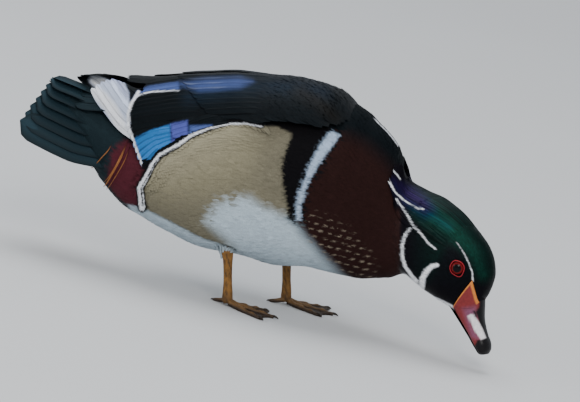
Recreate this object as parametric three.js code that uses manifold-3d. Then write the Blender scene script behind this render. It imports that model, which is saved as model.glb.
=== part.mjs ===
// Wood duck drake, life size, standing with its head lowered. Millimetres.
// The bird faces +X, its right side is -Y and the floor is z = 0.
import * as THREE from "three";
import Module from "manifold-3d";

const wasm = await Module();
wasm.setup();

// Driving dimensions
const GAP = 0.35;
const SMOOTH_STEPS = [0.16, 0.15, 0.14, 0.13, 0.12, 0.1, 0.08, 0.06, 0.04];
const ROUNDING = 10000;
const VANE_THICK = 0.9;
const WING_DEPTH = 4;
const SHIELD_DROP = 1.6;
const SHIELD_THICK = 6;
const EYE_RADIUS = 6.8;
const EYE_OUT = 2.1;
const EYE_PLACE = [129.3, 78.8];
const LID_RADIUS = 6.1;
const LID_THICK = 0.95;
const HEAD_TURN = 15;
const TURN_PIVOT = 50;
const TURN_START = 40;
const TURN_END = 100;
const ORIGIN_X = -42.25;
const FOOT_SPREAD = 30;
const RIGHT_FOOT_X = -53;
const LEFT_FOOT_X = -15;
const TOE_LENGTH = 44;
const TARSUS_TOP = 44;
const ANKLE_HEIGHT = 9.5;
const WING_PRIMARIES = 7;
const WING_SECONDARIES = 7;
const WING_TERTIALS = 4;
const WING_COVERTS = 4;
const WING_SCAPULARS = 5;
const TAIL_PAIRS = 7;
const FLANK_FEATHERS = 11;
const CREST_LOCKS = 6;

// Cross-sections of the flesh from tail root to forehead:
// upper point x z, lower point x z, half width, squareness, fullness below the middle
const FLESH = [
  [-226, 131, -224, 121, 10, 2, 0],
  [-214, 132, -212, 107, 17, 2, 0],
  [-200, 131.5, -198, 90, 23, 2, 0],
  [-184, 131, -183, 73, 27, 2, 0],
  [-168, 131, -168, 60, 31, 2, 0],
  [-152, 133, -152, 50.5, 35, 2, 0],
  [-134, 143, -134, 45, 42, 2.1, 0],
  [-112, 156, -113, 40, 50, 2.2, 0.03],
  [-84, 169, -86, 35.5, 56, 2.2, 0.05],
  [-52, 178, -54, 37, 59, 2.2, 0.05],
  [-24, 181, -25, 36.5, 59, 2.2, 0.05],
  [2, 180.5, 0, 41, 56, 2.2, 0.05],
  [20, 175, 18, 41.5, 51, 2.2, 0.06],
  [33, 167.5, 33, 41.7, 45, 2.1, 0.08],
  [42, 161.3, 46, 43, 39, 2.1, 0.1],
  [49.5, 153.8, 58, 46.5, 34, 2.1, 0.1],
  [54.8, 144.2, 69, 50.5, 30.5, 2.1, 0.08],
  [59, 134, 78, 55.5, 28, 2.1, 0.06],
  [66, 127.2, 84.5, 55.5, 26.3, 2.1, 0.06],
  [80, 124.4, 90.5, 53.4, 25, 2.15, 0.08],
  [95, 123.2, 96, 51.4, 24, 2.15, 0.1],
  [109.3, 120, 102.5, 49, 23, 2.15, 0.1],
  [122.3, 115.1, 109, 47, 21.5, 2.15, 0.1],
  [134.3, 107.4, 115.5, 45, 19.6, 2.15, 0.08],
  [143.9, 99.8, 120.8, 43.7, 17.2, 2.1, 0.05],
  [150.5, 90.8, 124.6, 42.7, 14.8, 2.1, 0],
  [154.2, 80.8, 127.1, 41.8, 12.6, 2.1, 0],
  [154.5, 73.1, 128.7, 41, 11.3, 2.1, 0],
  [153, 64, 131.5, 38.9, 10.2, 2.1, 0],
  [149.8, 53.6, 134.8, 36.6, 9.2, 2.1, 0],
];
const TAIL_CUT = 5;
const BREAST_CUT = 14.5;
const NAPE_CUT = 17;
const FACE_END = 29;

// Envelope of the folded wings, the same seven values
const MANTLE = [
  [-226, 142, -226, 134, 11, 2.2, 0],
  [-205, 148.5, -205, 130, 19, 2.3, 0],
  [-185, 155, -185, 113, 25.5, 2.3, 0],
  [-165, 158, -165, 87, 33, 2.2, 0],
  [-145, 163, -145, 64, 41.5, 2.1, 0],
  [-120, 171.5, -120, 46, 50.5, 2, 0],
  [-90, 180, -90, 37, 58, 2.1, 0],
  [-60, 185.5, -60, 37, 61, 2.2, 0],
  [-30, 188.5, -30, 37, 61.5, 2.2, 0],
  [0, 185, 0, 41, 58.5, 2.2, 0],
  [18, 174, 18, 41, 52, 2.2, 0],
];

// Side outline of the part of the wing that shows above the flank
const WING_WINDOW = [
  [6, 205],
  [8, 176],
  [2, 164],
  [-14, 151],
  [-40, 152.5],
  [-54, 155],
  [-80, 151],
  [-108, 132.7],
  [-126, 115.6],
  [-134, 101],
  [-137, 93],
  [-149, 98],
  [-156, 112],
  [-160, 130],
  [-157, 150],
  [-150, 205],
];

const FLANK_LINE = [
  [-138, 84],
  [-135, 98],
  [-126, 115],
  [-108, 132],
  [-80, 150],
  [-52, 154.5],
];

// Cross-sections of the bill from the face to the nail
const BILL = [
  [148, 70, 124, 46, 10.4, 2.2, 0],
  [151.4, 54, 134.5, 37, 9.7, 2.3, 0],
  [154, 42.5, 141.5, 30.6, 8.8, 2.4, 0],
  [157.4, 35, 146.7, 25.8, 8.3, 2.4, 0],
  [160.8, 29.3, 151.5, 21.2, 8.5, 2.4, 0],
  [163.6, 25, 155, 18, 8.6, 2.4, 0],
  [165, 20, 158.2, 15, 7.2, 2.3, 0],
  [164, 16.6, 160.6, 14.4, 4, 2.2, 0],
];
const MOUTH_LINE = [
  [122, 56],
  [132.3, 44.8],
  [137, 38],
  [144.2, 31.6],
  [150, 25.8],
  [155.5, 20.2],
  [162, 14.9],
  [170, 8],
];
const FACE_LOBE = [
  [129, 43.5],
  [135, 55],
  [142.2, 72.5],
  [147, 64],
  [150, 56],
  [150, 40],
  [135, 34],
];

// A repeatable stream of small variations
let seed = 4271;
function vary(amount) {
  seed = (seed * 16807) % 2147483647;
  return (seed / 2147483647 - 0.5) * 2 * amount;
}

function curveAt(rows, u) {
  const last = rows.length - 1;
  const held = Math.min(Math.max(u, 0), last);
  const i = Math.min(Math.floor(held), last - 1);
  const t = held - i;
  const before = rows[Math.max(i - 1, 0)];
  const from = rows[i];
  const to = rows[i + 1];
  const after = rows[Math.min(i + 2, last)];
  return from.map((value, k) => {
    const slopeA = (to[k] - before[k]) / 2;
    const slopeB = (after[k] - value) / 2;
    const t2 = t * t;
    const t3 = t2 * t;
    return (
      value * (2 * t3 - 3 * t2 + 1) +
      slopeA * (t3 - 2 * t2 + t) +
      to[k] * (3 * t2 - 2 * t3) +
      slopeB * (t3 - t2)
    );
  });
}

// A point of a lofted surface: phi is 0 at the top and 90 degrees on the side asked for
function surfacePoint(rows, u, phi, off = 0, side = -1) {
  const [tx, tz, bx, bz, width, square, low] = curveAt(rows, u);
  const half = Math.hypot(tx - bx, tz - bz) / 2;
  const dx = (tx - bx) / 2 / half;
  const dz = (tz - bz) / 2 / half;
  const power = 2 / square;
  const cosine = Math.cos(phi);
  const sine = Math.sin(phi);
  const up = Math.sign(cosine) * Math.abs(cosine) ** power * (half + off);
  const out = Math.sign(sine) * Math.abs(sine) ** power * (width + off);
  return new THREE.Vector3(
    (tx + bx) / 2 + dx * up,
    side * out * (1 - low * cosine),
    (tz + bz) / 2 + dz * up,
  );
}

// The row position at which a vertical-ring surface has the given x
function ringAtX(rows, x) {
  let low = 0;
  let high = rows.length - 1;
  for (let i = 0; i < 30; i += 1) {
    const mid = (low + high) / 2;
    const ring = curveAt(rows, mid);
    if ((ring[0] + ring[2]) / 2 < x) low = mid;
    else high = mid;
  }
  return (low + high) / 2;
}

// Angle round the ring at which the surface stands at height z
function angleAtHeight(rows, u, z) {
  const ring = curveAt(rows, u);
  const half = (ring[1] - ring[3]) / 2;
  const share = (z - (ring[1] + ring[3]) / 2) / half;
  const held = Math.min(Math.max(share, -0.999), 0.999);
  const power = ring[5] / 2;
  return Math.acos(Math.sign(held) * Math.abs(held) ** power);
}

function solid(points, faces) {
  const vertProperties = new Float32Array(points.length * 3);
  points.forEach((p, i) => {
    vertProperties[3 * i] = p.x;
    vertProperties[3 * i + 1] = p.y;
    vertProperties[3 * i + 2] = p.z;
  });
  let volume = 0;
  for (const [a, b, c] of faces) {
    volume += points[a].dot(points[b].clone().cross(points[c]));
  }
  const turned = volume < 0 ? faces.map(([a, b, c]) => [a, c, b]) : faces;
  const triVerts = new Uint32Array(turned.flat());
  return new wasm.Manifold(
    new wasm.Mesh({ numProp: 3, vertProperties, triVerts }),
  );
}

function biggest(body) {
  const pieces = body.decompose();
  return pieces.reduce((a, b) => (b.volume() > a.volume() ? b : a));
}

// A closed loft between two ring positions, with domed or flat ends
function loft(rows, from, to, steps, around, off = 0, domeA = 0, domeB = 0) {
  const points = [];
  const faces = [];
  for (let i = 0; i <= steps; i += 1) {
    const u = from + ((to - from) * i) / steps;
    for (let j = 0; j < around; j += 1) {
      points.push(surfacePoint(rows, u, (2 * Math.PI * j) / around, off));
    }
  }
  for (let i = 0; i < steps; i += 1) {
    for (let j = 0; j < around; j += 1) {
      const a = i * around + j;
      const b = i * around + ((j + 1) % around);
      faces.push([a, b, b + around], [a, b + around, a + around]);
    }
  }
  const ends = [
    [from, 0, domeA],
    [to, steps * around, domeB],
  ];
  ends.forEach(([u, start, dome], k) => {
    const ring = curveAt(rows, u);
    const next = curveAt(rows, u + (k === 0 ? 0.2 : -0.2));
    const centre = new THREE.Vector3(
      (ring[0] + ring[2]) / 2,
      0,
      (ring[1] + ring[3]) / 2,
    );
    const inner = new THREE.Vector3(
      (next[0] + next[2]) / 2,
      0,
      (next[1] + next[3]) / 2,
    );
    const outward = centre.clone().sub(inner).normalize();
    points.push(centre.addScaledVector(outward, dome));
    const tip = points.length - 1;
    for (let j = 0; j < around; j += 1) {
      const a = start + j;
      const b = start + ((j + 1) % around);
      faces.push(k === 0 ? [tip, b, a] : [tip, a, b]);
    }
  });
  return solid(points, faces);
}

// Prism of a side outline, over the right half of the bird
function sidePrism(outline, inner, outer, grow = 0) {
  const section = new wasm.CrossSection([outline], "Positive");
  const grown = grow === 0 ? section : section.offset(grow, "Miter");
  return grown
    .extrude(outer - inner)
    .rotate([90, 0, 0])
    .translate([0, -inner, 0]);
}

function wide(outline) {
  const area = THREE.ShapeUtils.area(
    outline.map(([x, z]) => new THREE.Vector2(x, z)),
  );
  return area < 0 ? [...outline].reverse() : outline;
}

// Outline of a vane: narrow root, full middle, rounded tip
function vaneWidth(t, tip) {
  const root = 0.55 + 0.45 * Math.min(t / 0.35, 1);
  const end = t > tip ? Math.sqrt(Math.max(1 - ((t - tip) / (1 - tip)) ** 2, 0)) : 1;
  return root * Math.max(end, 0.16);
}

// A closed feather vane along points with their outward normals
function vane(centres, normals, width, opts = {}) {
  const { thick = VANE_THICK, tip = 0.7, camber = 0.12, grow = 0 } = opts;
  const points = [];
  const faces = [];
  const rows = centres.length;
  const columns = [-1, 0, 1];
  for (const face of [1, -1]) {
    for (let i = 0; i < rows; i += 1) {
      const t = i / (rows - 1);
      const ahead = centres[Math.min(i + 1, rows - 1)];
      const along = ahead.clone().sub(centres[Math.max(i - 1, 0)]).normalize();
      const across = normals[i].clone().cross(along).normalize();
      const half = width * vaneWidth(t, tip) + grow;
      for (const v of columns) {
        const edge = v === 0 ? 1 : 0.7;
        const lift = (face * thick * edge) / 2 + face * grow;
        points.push(
          centres[i]
            .clone()
            .addScaledVector(across, v * half)
            .addScaledVector(normals[i], lift - Math.abs(v) * camber * half)
            .addScaledVector(along, i === 0 ? -grow : i === rows - 1 ? grow : 0),
        );
      }
    }
  }
  const other = rows * 3;
  for (let i = 0; i < rows - 1; i += 1) {
    for (let j = 0; j < 2; j += 1) {
      const a = i * 3 + j;
      faces.push([a, a + 1, a + 4], [a, a + 4, a + 3]);
      const b = a + other;
      faces.push([b, b + 4, b + 1], [b, b + 3, b + 4]);
    }
    const l = i * 3;
    faces.push([l, l + 3, l + 3 + other], [l, l + 3 + other, l + other]);
    const r = i * 3 + 2;
    faces.push([r, r + 3 + other, r + 3], [r, r + other, r + 3 + other]);
  }
  for (const [start, flip] of [
    [0, false],
    [(rows - 1) * 3, true],
  ]) {
    for (let j = 0; j < 2; j += 1) {
      const a = start + j;
      const b = a + 1;
      const quad = [
        [a, b + other, b],
        [a, a + other, b + other],
      ];
      for (const [p, q, s] of quad) faces.push(flip ? [p, s, q] : [p, q, s]);
    }
  }
  return solid(points, faces);
}

// Centre line and normals of a vane lying on a surface, from root to tip given as
// side-view points, raised step by step so that the next tier covers the last
function onSurface(rows, root, tip, steps, lift, side = -1) {
  const centres = [];
  const normals = [];
  for (let i = 0; i <= steps; i += 1) {
    const t = i / steps;
    const x = root[0] + (tip[0] - root[0]) * t;
    const z = root[1] + (tip[1] - root[1]) * t;
    const u = ringAtX(rows, x);
    const phi = angleAtHeight(rows, u, z);
    const off = lift[0] + (lift[1] - lift[0]) * Math.min(t * 2, 1);
    const place = surfacePoint(rows, u, phi, off, side);
    const away = surfacePoint(rows, u, phi, off + 1, side).sub(place);
    centres.push(place);
    normals.push(away.normalize());
  }
  return [centres, normals];
}

const mix = (a, b, t) => a.map((value, k) => value + (b[k] - value) * t);

// A row of vanes between a first and a last one
function tier(rows, count, first, last, opts = {}) {
  const { steps = 4, tip = 0.7, side = -1, grow = 0, wander = 0.6 } = opts;
  const made = [];
  for (let i = 0; i < count; i += 1) {
    const t = count === 1 ? 0 : i / (count - 1);
    const root = mix(first.root, last.root, t);
    const end = mix(first.tip, last.tip, t);
    const width = first.width + (last.width - first.width) * t;
    const lift = mix(first.lift, last.lift, t);
    end[0] += vary(wander);
    end[1] += vary(wander * 0.5);
    const [centres, normals] = onSurface(rows, root, end, steps, lift, side);
    made.push(vane(centres, normals, width, { tip, grow }));
  }
  return made;
}

const join = (pieces) => wasm.Manifold.union(pieces);

// Flesh of the body with a hollow in each side for the folded wing
const fleshOuter = loft(FLESH, TAIL_CUT, BREAST_CUT, 19, 28);
const fleshInner = loft(FLESH, TAIL_CUT - 1.2, BREAST_CUT + 0.5, 14, 20, -WING_DEPTH);
const fleshClear = loft(
  FLESH,
  TAIL_CUT - 1.2,
  BREAST_CUT + 0.5,
  14,
  20,
  GAP - WING_DEPTH,
);
const windowHollow = sidePrism(wide(WING_WINDOW), -1, 90, 0);
const hollow = windowHollow.subtract(fleshInner);
const flankEdge = new THREE.CatmullRomCurve3(
  FLANK_LINE.map(([x, z]) => new THREE.Vector3(x, 0, z)),
);
// The long flank feathers whose tips fold over the lower edge of the wing
function flankRow(grow) {
  const made = [];
  for (let i = 0; i < FLANK_FEATHERS; i += 1) {
    const t = i / (FLANK_FEATHERS - 1);
    const end = flankEdge.getPoint(t);
    const root = [end.x + 17 - 3 * t, end.z - 12 - 6 * t];
    const tip = [end.x - 1.5, end.z + 1.5];
    const [centres, normals] = onSurface(FLESH, root, tip, 3, [-1.2, 0.8]);
    made.push(vane(centres, normals, 7.5, { grow }));
  }
  return made;
}

function mirrorY(body) {
  return body.mirror([0, 1, 0]);
}

const flankVanes = join(flankRow(0));
const flankClear = join(flankRow(GAP));
const torso = biggest(
  join([
    fleshOuter.subtract(hollow).subtract(mirrorY(hollow)),
    flankVanes,
    mirrorY(flankVanes),
  ]),
);

// Folded wing: a solid shield with the vanes rooted in it
function wing(isLeft) {
  const shield = loft(MANTLE, 1, 10, 12, 24, -SHIELD_DROP).subtract(
    loft(MANTLE, 0, 6.2, 8, 16, -SHIELD_DROP - SHIELD_THICK),
  );
  const cut = sidePrism(wide(WING_WINDOW), 0.25, 90, -GAP);
  const far = isLeft ? 16 : 0;
  const primaries = tier(
    MANTLE,
    WING_PRIMARIES,
    { root: [-140, 97], tip: [-202 - far, 141.5], width: 8, lift: [-4, -2] },
    { root: [-140, 150], tip: [-178 - far, 154], width: 7, lift: [-4, 0.2] },
    { steps: 4, tip: 0.6 },
  );
  const secondaries = tier(
    MANTLE,
    WING_SECONDARIES,
    { root: [-112, 108], tip: [-141, 89], width: 6, lift: [-3, -0.6] },
    { root: [-100, 140], tip: [-160, 121], width: 7, lift: [-3, 0.6] },
    { steps: 3, tip: 0.7 },
  );
  const tertials = tier(
    MANTLE,
    WING_TERTIALS,
    { root: [-92, 141], tip: [-164, 131], width: 8.5, lift: [-3, 0.7] },
    { root: [-86, 168], tip: [-164, 151], width: 9.5, lift: [-3, 1.2] },
    { steps: 4, tip: 0.7 },
  );
  const coverts = tier(
    MANTLE,
    WING_COVERTS,
    { root: [-86, 140], tip: [-122, 128], width: 6, lift: [-2.5, 1] },
    { root: [-56, 158], tip: [-92, 146], width: 7, lift: [-2.5, 1.4] },
    { steps: 3 },
  );
  const scapulars = tier(
    MANTLE,
    WING_SCAPULARS,
    { root: [-22, 158], tip: [-84, 155], width: 9, lift: [-2.5, 1.4] },
    { root: [-40, 183], tip: [-128, 167], width: 10, lift: [-2.5, 0.2] },
    { steps: 4 },
  );
  const vanes = [...primaries, ...secondaries, ...tertials, ...coverts, ...scapulars];
  const body = join([shield.intersect(cut), ...vanes]);
  const keepRight = sidePrism(
    [
      [-300, 20],
      [60, 20],
      [60, 260],
      [-300, 260],
    ],
    0.25,
    120,
  );
  const shaped = biggest(body.intersect(keepRight).subtract(fleshKeep));
  return isLeft ? mirrorY(shaped) : shaped;
}

// Tail: the flesh core with the rectrices fanned and tented over it
function tail(grow = 0) {
  const core = loft(FLESH, 0, TAIL_CUT - 0.02 + grow / 10, 10, 24, grow, 1 + grow, 0);
  const vanes = [];
  for (const side of [-1, 1]) {
    for (let i = 0; i < TAIL_PAIRS; i += 1) {
      const t = i / (TAIL_PAIRS - 1);
      const root = new THREE.Vector3(-172, side * (3 + 18 * t), 127 - 40 * t);
      const end = new THREE.Vector3(
        -235.5 - 11.5 * t + vary(0.8),
        side * (3.5 + 34 * t),
        136.8 - 31 * t ** 1.1,
      );
      const middle = root.clone().lerp(end, 0.55);
      middle.z += 1.5 - 5 * t;
      const path = new THREE.QuadraticBezierCurve3(root, middle, end);
      const normal = new THREE.Vector3(0, side * (0.25 + 0.7 * t), 1 - 0.35 * t).normalize();
      const centres = path.getPoints(4);
      centres.forEach((p) => p.addScaledVector(normal, 0.9 - 1.1 * (i % 2) - 0.6 * t));
      const normals = centres.map(() => normal);
      vanes.push(vane(centres, normals, 8.4 - 0.4 * t, { tip: 0.7, camber: 0.05, grow }));
    }
  }
  return biggest(join([core, ...vanes]));
}

// What the wings must stay clear of: the hollowed flesh, its flank feathers and the tail
const tailSeed = seed;
const tailBody = tail();
seed = tailSeed;
const fleshKeep = join([
  fleshClear,
  loft(FLESH, TAIL_CUT, BREAST_CUT, 19, 28, GAP).subtract(
    sidePrism(wide(WING_WINDOW), -1, 90, -GAP),
  ),
  tail(GAP),
  flankClear,
]);

// Head parts
function headFrame() {
  let best = 20;
  let nearest = Infinity;
  let phi = 1.4;
  for (let u = 21; u < 26; u += 0.05) {
    for (let a = 0.9; a < 2; a += 0.02) {
      const p = surfacePoint(FLESH, u, a);
      const d = Math.hypot(p.x - EYE_PLACE[0], p.z - EYE_PLACE[1]);
      if (d < nearest) {
        nearest = d;
        best = u;
        phi = a;
      }
    }
  }
  const place = surfacePoint(FLESH, best, phi);
  const alongU = surfacePoint(FLESH, best + 0.1, phi).sub(surfacePoint(FLESH, best - 0.1, phi));
  const alongA = surfacePoint(FLESH, best, phi + 0.05).sub(surfacePoint(FLESH, best, phi - 0.05));
  const normal = alongU.cross(alongA).normalize();
  if (normal.y > 0) normal.negate();
  return { place, normal };
}
const eyeSpot = headFrame();
const eyeCentre = eyeSpot.place.clone().addScaledVector(eyeSpot.normal, EYE_OUT - EYE_RADIUS);

function eyeball(radius) {
  return wasm.Manifold.sphere(radius, 16).translate(eyeCentre.toArray());
}

function lidRing() {
  const ring = new THREE.TorusGeometry(LID_RADIUS, LID_THICK, 6, 20);
  const place = eyeSpot.place.clone().addScaledVector(eyeSpot.normal, -0.1);
  const turn = new THREE.Quaternion().setFromUnitVectors(
    new THREE.Vector3(0, 0, 1),
    eyeSpot.normal,
  );
  const points = [];
  const faces = [];
  const grid = ring.getAttribute("position");
  for (let i = 0; i < 6; i += 1) {
    for (let j = 0; j < 20; j += 1) {
      const p = new THREE.Vector3().fromBufferAttribute(grid, i * 21 + j);
      points.push(p.applyQuaternion(turn).add(place));
      const k = (i + 1) % 6;
      const n = (j + 1) % 20;
      faces.push([i * 20 + j, k * 20 + j, k * 20 + n]);
      faces.push([i * 20 + j, k * 20 + n, i * 20 + n]);
    }
  }
  return solid(points, faces);
}

// A lock of the crest from root to tip in ring position and angle
function lock(from, to, width, side, lift) {
  const centres = [];
  const normals = [];
  const steps = 4;
  for (let i = 0; i <= steps; i += 1) {
    const t = i / steps;
    const u = from[0] + (to[0] - from[0]) * t;
    const phi = from[1] + (to[1] - from[1]) * t;
    const off = -1.5 + (lift + 1.5) * Math.min(t * 2.2, 1);
    const place = surfacePoint(FLESH, u, phi, off, side);
    const away = surfacePoint(FLESH, u, phi, off + 1, side).sub(place);
    centres.push(place);
    normals.push(away.normalize());
  }
  return vane(centres, normals, width, { tip: 0.25, camber: 0.1, thick: 1.3 });
}

function crest() {
  const locks = [];
  for (const side of [-1, 1]) {
    for (let i = 0; i < CREST_LOCKS; i += 1) {
      const t = i / (CREST_LOCKS - 1);
      const angle = 0.08 + 1.05 * t;
      const reach = 16.7 - 1.7 * Math.sin(Math.min(t / 0.85, 1) * 1.5) + (t > 0.9 ? 1.2 : 0);
      const root = [21.5 - 0.8 * t, angle * 1.15 + 0.05];
      const tip = [reach + vary(0.15), angle * 0.98];
      locks.push(lock(root, tip, 5.2, side, 2.6 - 0.5 * (i % 2)));
    }
  }
  return locks;
}

const neckKeep = loft(FLESH, 12, NAPE_CUT + 0.03, 10, 28, GAP);
const headBase = loft(FLESH, NAPE_CUT + 0.03, FACE_END, 20, 24, 0, 0, 0.5);
const socket = eyeball(EYE_RADIUS + GAP);
const headWhole = join([headBase, lidRing(), mirrorY(lidRing()), ...crest()])
  .subtract(socket)
  .subtract(mirrorY(socket))
  .subtract(neckKeep);
const head = biggest(headWhole);
const neck = loft(FLESH, BREAST_CUT + 0.03, NAPE_CUT, 5, 28);

// Bill, parted along the mouth, with the lobes that climb the face
const faceKeep = loft(FLESH, NAPE_CUT + 0.03, FACE_END, 20, 24, GAP, 0, 0.9);
const billLoft = loft(BILL, 0, 7, 12, 16, 0, 0, 0.6);
const billClear = loft(BILL, 0, 7, 12, 16, GAP, 0, 1);
const lowerSide = [...MOUTH_LINE, [170, -10], [110, -10]];
const lowerRegion = sidePrism(wide(lowerSide), -30, 30);
const lowerGrown = sidePrism(wide(lowerSide), -30, 30, GAP);
const lobeLayer = loft(FLESH, NAPE_CUT + 0.03, FACE_END, 20, 24, 1.2, 0, 1);
const lobePrism = sidePrism(wide(FACE_LOBE), -30, 30);
const nostril = wasm.Manifold.sphere(1, 12)
  .scale([1.3, 2.4, 2.9])
  .rotate([0, 28, 0])
  .translate([148.9, -7.4, 44.6]);
const nail = wasm.Manifold.sphere(1, 16)
  .scale([2.2, 3.6, 5])
  .rotate([0, 20, 0])
  .translate([163.6, 0, 20]);
const billUpper = biggest(
  join([billLoft, lobeLayer.intersect(lobePrism), nail])
    .subtract(faceKeep)
    .subtract(lowerGrown)
    .subtract(nostril)
    .subtract(mirrorY(nostril)),
);
const billLower = biggest(
  loft(BILL, 0, 7, 12, 16, -0.6, 0, 0)
    .intersect(lowerRegion)
    .subtract(loft(FLESH, NAPE_CUT + 0.03, FACE_END, 20, 24, GAP + 0.15, 0, 1)),
);

// Legs: a feathered thigh, a bare tarsus and a webbed foot
function rod(stations, around = 12) {
  const points = [];
  const faces = [];
  stations.forEach(([x, y, z, rx, ry], i) => {
    const ahead = stations[Math.min(i + 1, stations.length - 1)];
    const behind = stations[Math.max(i - 1, 0)];
    const along = new THREE.Vector3(
      ahead[0] - behind[0],
      ahead[1] - behind[1],
      ahead[2] - behind[2],
    ).normalize();
    const sideways = new THREE.Vector3(0, 1, 0).cross(along).normalize();
    const up = along.clone().cross(sideways).normalize();
    for (let j = 0; j < around; j += 1) {
      const a = (2 * Math.PI * j) / around;
      points.push(
        new THREE.Vector3(x, y, z)
          .addScaledVector(sideways, Math.cos(a) * rx)
          .addScaledVector(up, Math.sin(a) * ry),
      );
    }
  });
  const rows = stations.length;
  for (let i = 0; i < rows - 1; i += 1) {
    for (let j = 0; j < around; j += 1) {
      const a = i * around + j;
      const b = i * around + ((j + 1) % around);
      faces.push([a, b, b + around], [a, b + around, a + around]);
    }
  }
  for (const [start, flip] of [
    [0, false],
    [(rows - 1) * around, true],
  ]) {
    for (let j = 1; j < around - 1; j += 1) {
      const face = [start, start + j + 1, start + j];
      faces.push(flip ? [face[0], face[2], face[1]] : face);
    }
  }
  return solid(points, faces);
}

function thigh(footX) {
  const x = footX - 16;
  const body = rod(
    [
      [x - 2, -FOOT_SPREAD + 4, 74, 16, 16],
      [x - 1, -FOOT_SPREAD + 3, 60, 18, 18],
      [x + 1, -FOOT_SPREAD + 1.5, 50, 15, 14.5],
      [x + 5, -FOOT_SPREAD + 0.5, 43, 8.5, 8.5],
      [x + 7, -FOOT_SPREAD, 40, 4.8, 4.6],
    ],
    14,
  );
  return body;
}

function tarsus(footX, grow = 0) {
  const g = grow;
  return rod(
    [
      [footX - 9.5, -FOOT_SPREAD, TARSUS_TOP + 4 + g, 3.6 + g, 3.4 + g],
      [footX - 8.5, -FOOT_SPREAD, TARSUS_TOP - 2, 4.2 + g, 3.4 + g],
      [footX - 6, -FOOT_SPREAD, 32, 3.1 + g, 2.5 + g],
      [footX - 3.3, -FOOT_SPREAD, 20, 3 + g, 2.4 + g],
      [footX - 1, -FOOT_SPREAD, ANKLE_HEIGHT + 0.4 - g, 3.7 + g, 3.2 + g],
    ],
    12,
  );
}

function toe(footX, angle, length, thick) {
  const a = THREE.MathUtils.degToRad(angle);
  const dx = Math.cos(a);
  const dy = -Math.sin(a);
  const stations = [0, 0.18, 0.42, 0.5, 0.68, 0.76, 0.88].map((t, i) => {
    const joint = i === 2 || i === 4 || i === 0 ? 1.1 : 0.92;
    const r = thick * (1 - 0.45 * t) * joint;
    return [
      footX + dx * length * t,
      -FOOT_SPREAD + dy * length * t,
      r - 0.35 + (t < 0.1 ? 2.6 : t < 0.3 ? 0.9 : 0),
      r,
      r,
    ];
  });
  const claw = [0.86, 0.93, 1].map((t, i) => {
    const r = [1.3, 1, 0.4][i];
    return [
      footX + dx * length * t,
      -FOOT_SPREAD + dy * length * t,
      [1.9, 1.9, 0.8][i],
      r,
      r * 0.8,
    ];
  });
  return [rod(stations, 7), rod(claw, 5)];
}

function foot(footX) {
  const ankle = rod(
    [
      [footX - 0.7, -FOOT_SPREAD, ANKLE_HEIGHT, 3.8, 3.4],
      [footX - 0.2, -FOOT_SPREAD, 6, 4.2, 4.2],
      [footX + 1, -FOOT_SPREAD, 3, 4, 4.4],
    ],
    12,
  );
  const toes = [
    ...toe(footX, 4, TOE_LENGTH, 2.7),
    ...toe(footX, 32, TOE_LENGTH * 0.93, 2.5),
    ...toe(footX, -24, TOE_LENGTH * 0.82, 2.5),
  ];
  const hind = rod(
    [
      [footX - 1, -FOOT_SPREAD + 2, 4.2, 2.2, 2],
      [footX - 6, -FOOT_SPREAD + 4, 2.2, 1.8, 1.6],
      [footX - 11, -FOOT_SPREAD + 5.5, 1.2, 1.5, 1.4],
      [footX - 14.5, -FOOT_SPREAD + 6.3, 0.5, 0.6, 0.6],
    ],
    8,
  );
  const webEdge = [];
  for (let i = 0; i <= 8; i += 1) {
    const angle = -24 + (56 * i) / 8;
    const a = THREE.MathUtils.degToRad(angle);
    const bay = angle < 4 ? (angle + 24) / 28 : (angle - 4) / 28;
    const reach = TOE_LENGTH * (0.76 + 0.03 * i / 8 - 0.13 * Math.sin(Math.PI * bay));
    webEdge.push([footX + Math.cos(a) * reach, -FOOT_SPREAD - Math.sin(a) * reach]);
  }
  const outline = [[footX - 1, -FOOT_SPREAD], ...webEdge];
  const web = new wasm.CrossSection([wide(outline)], "Positive")
    .extrude(0.95)
    .translate([0, 0, 0.55]);
  const whole = join([ankle, ...toes, hind, web]);
  return biggest(whole.trimByPlane([0, 0, 1], 0));
}

// Turn of the head, taken up along the neck
function bend(point) {
  const share = (point[0] - TURN_START) / (TURN_END - TURN_START);
  const held = Math.min(Math.max(share, 0), 1);
  const angle = THREE.MathUtils.degToRad(HEAD_TURN) * held * held * (3 - 2 * held);
  const x = point[0] - TURN_PIVOT;
  const y = point[1];
  point[0] = TURN_PIVOT - ORIGIN_X + x * Math.cos(angle) + y * Math.sin(angle);
  point[1] = -x * Math.sin(angle) + y * Math.cos(angle);
}

function legParts(footX, left) {
  const shank = tarsus(footX);
  const clear = tarsus(footX, GAP);
  const upper = biggest(thigh(footX).subtract(bodyClear).subtract(clear));
  const free = shank.subtract(bodyClear);
  const base = foot(footX).subtract(clear);
  const parts = [upper, biggest(free), biggest(base)];
  return left ? parts.map(mirrorY) : parts;
}

const bodyClear = loft(FLESH, TAIL_CUT, BREAST_CUT, 19, 28, GAP);
const [thighRight, tarsusRight, footRight] = legParts(RIGHT_FOOT_X, false);
const [thighLeft, tarsusLeft, footLeft] = legParts(LEFT_FOOT_X, true);

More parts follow.
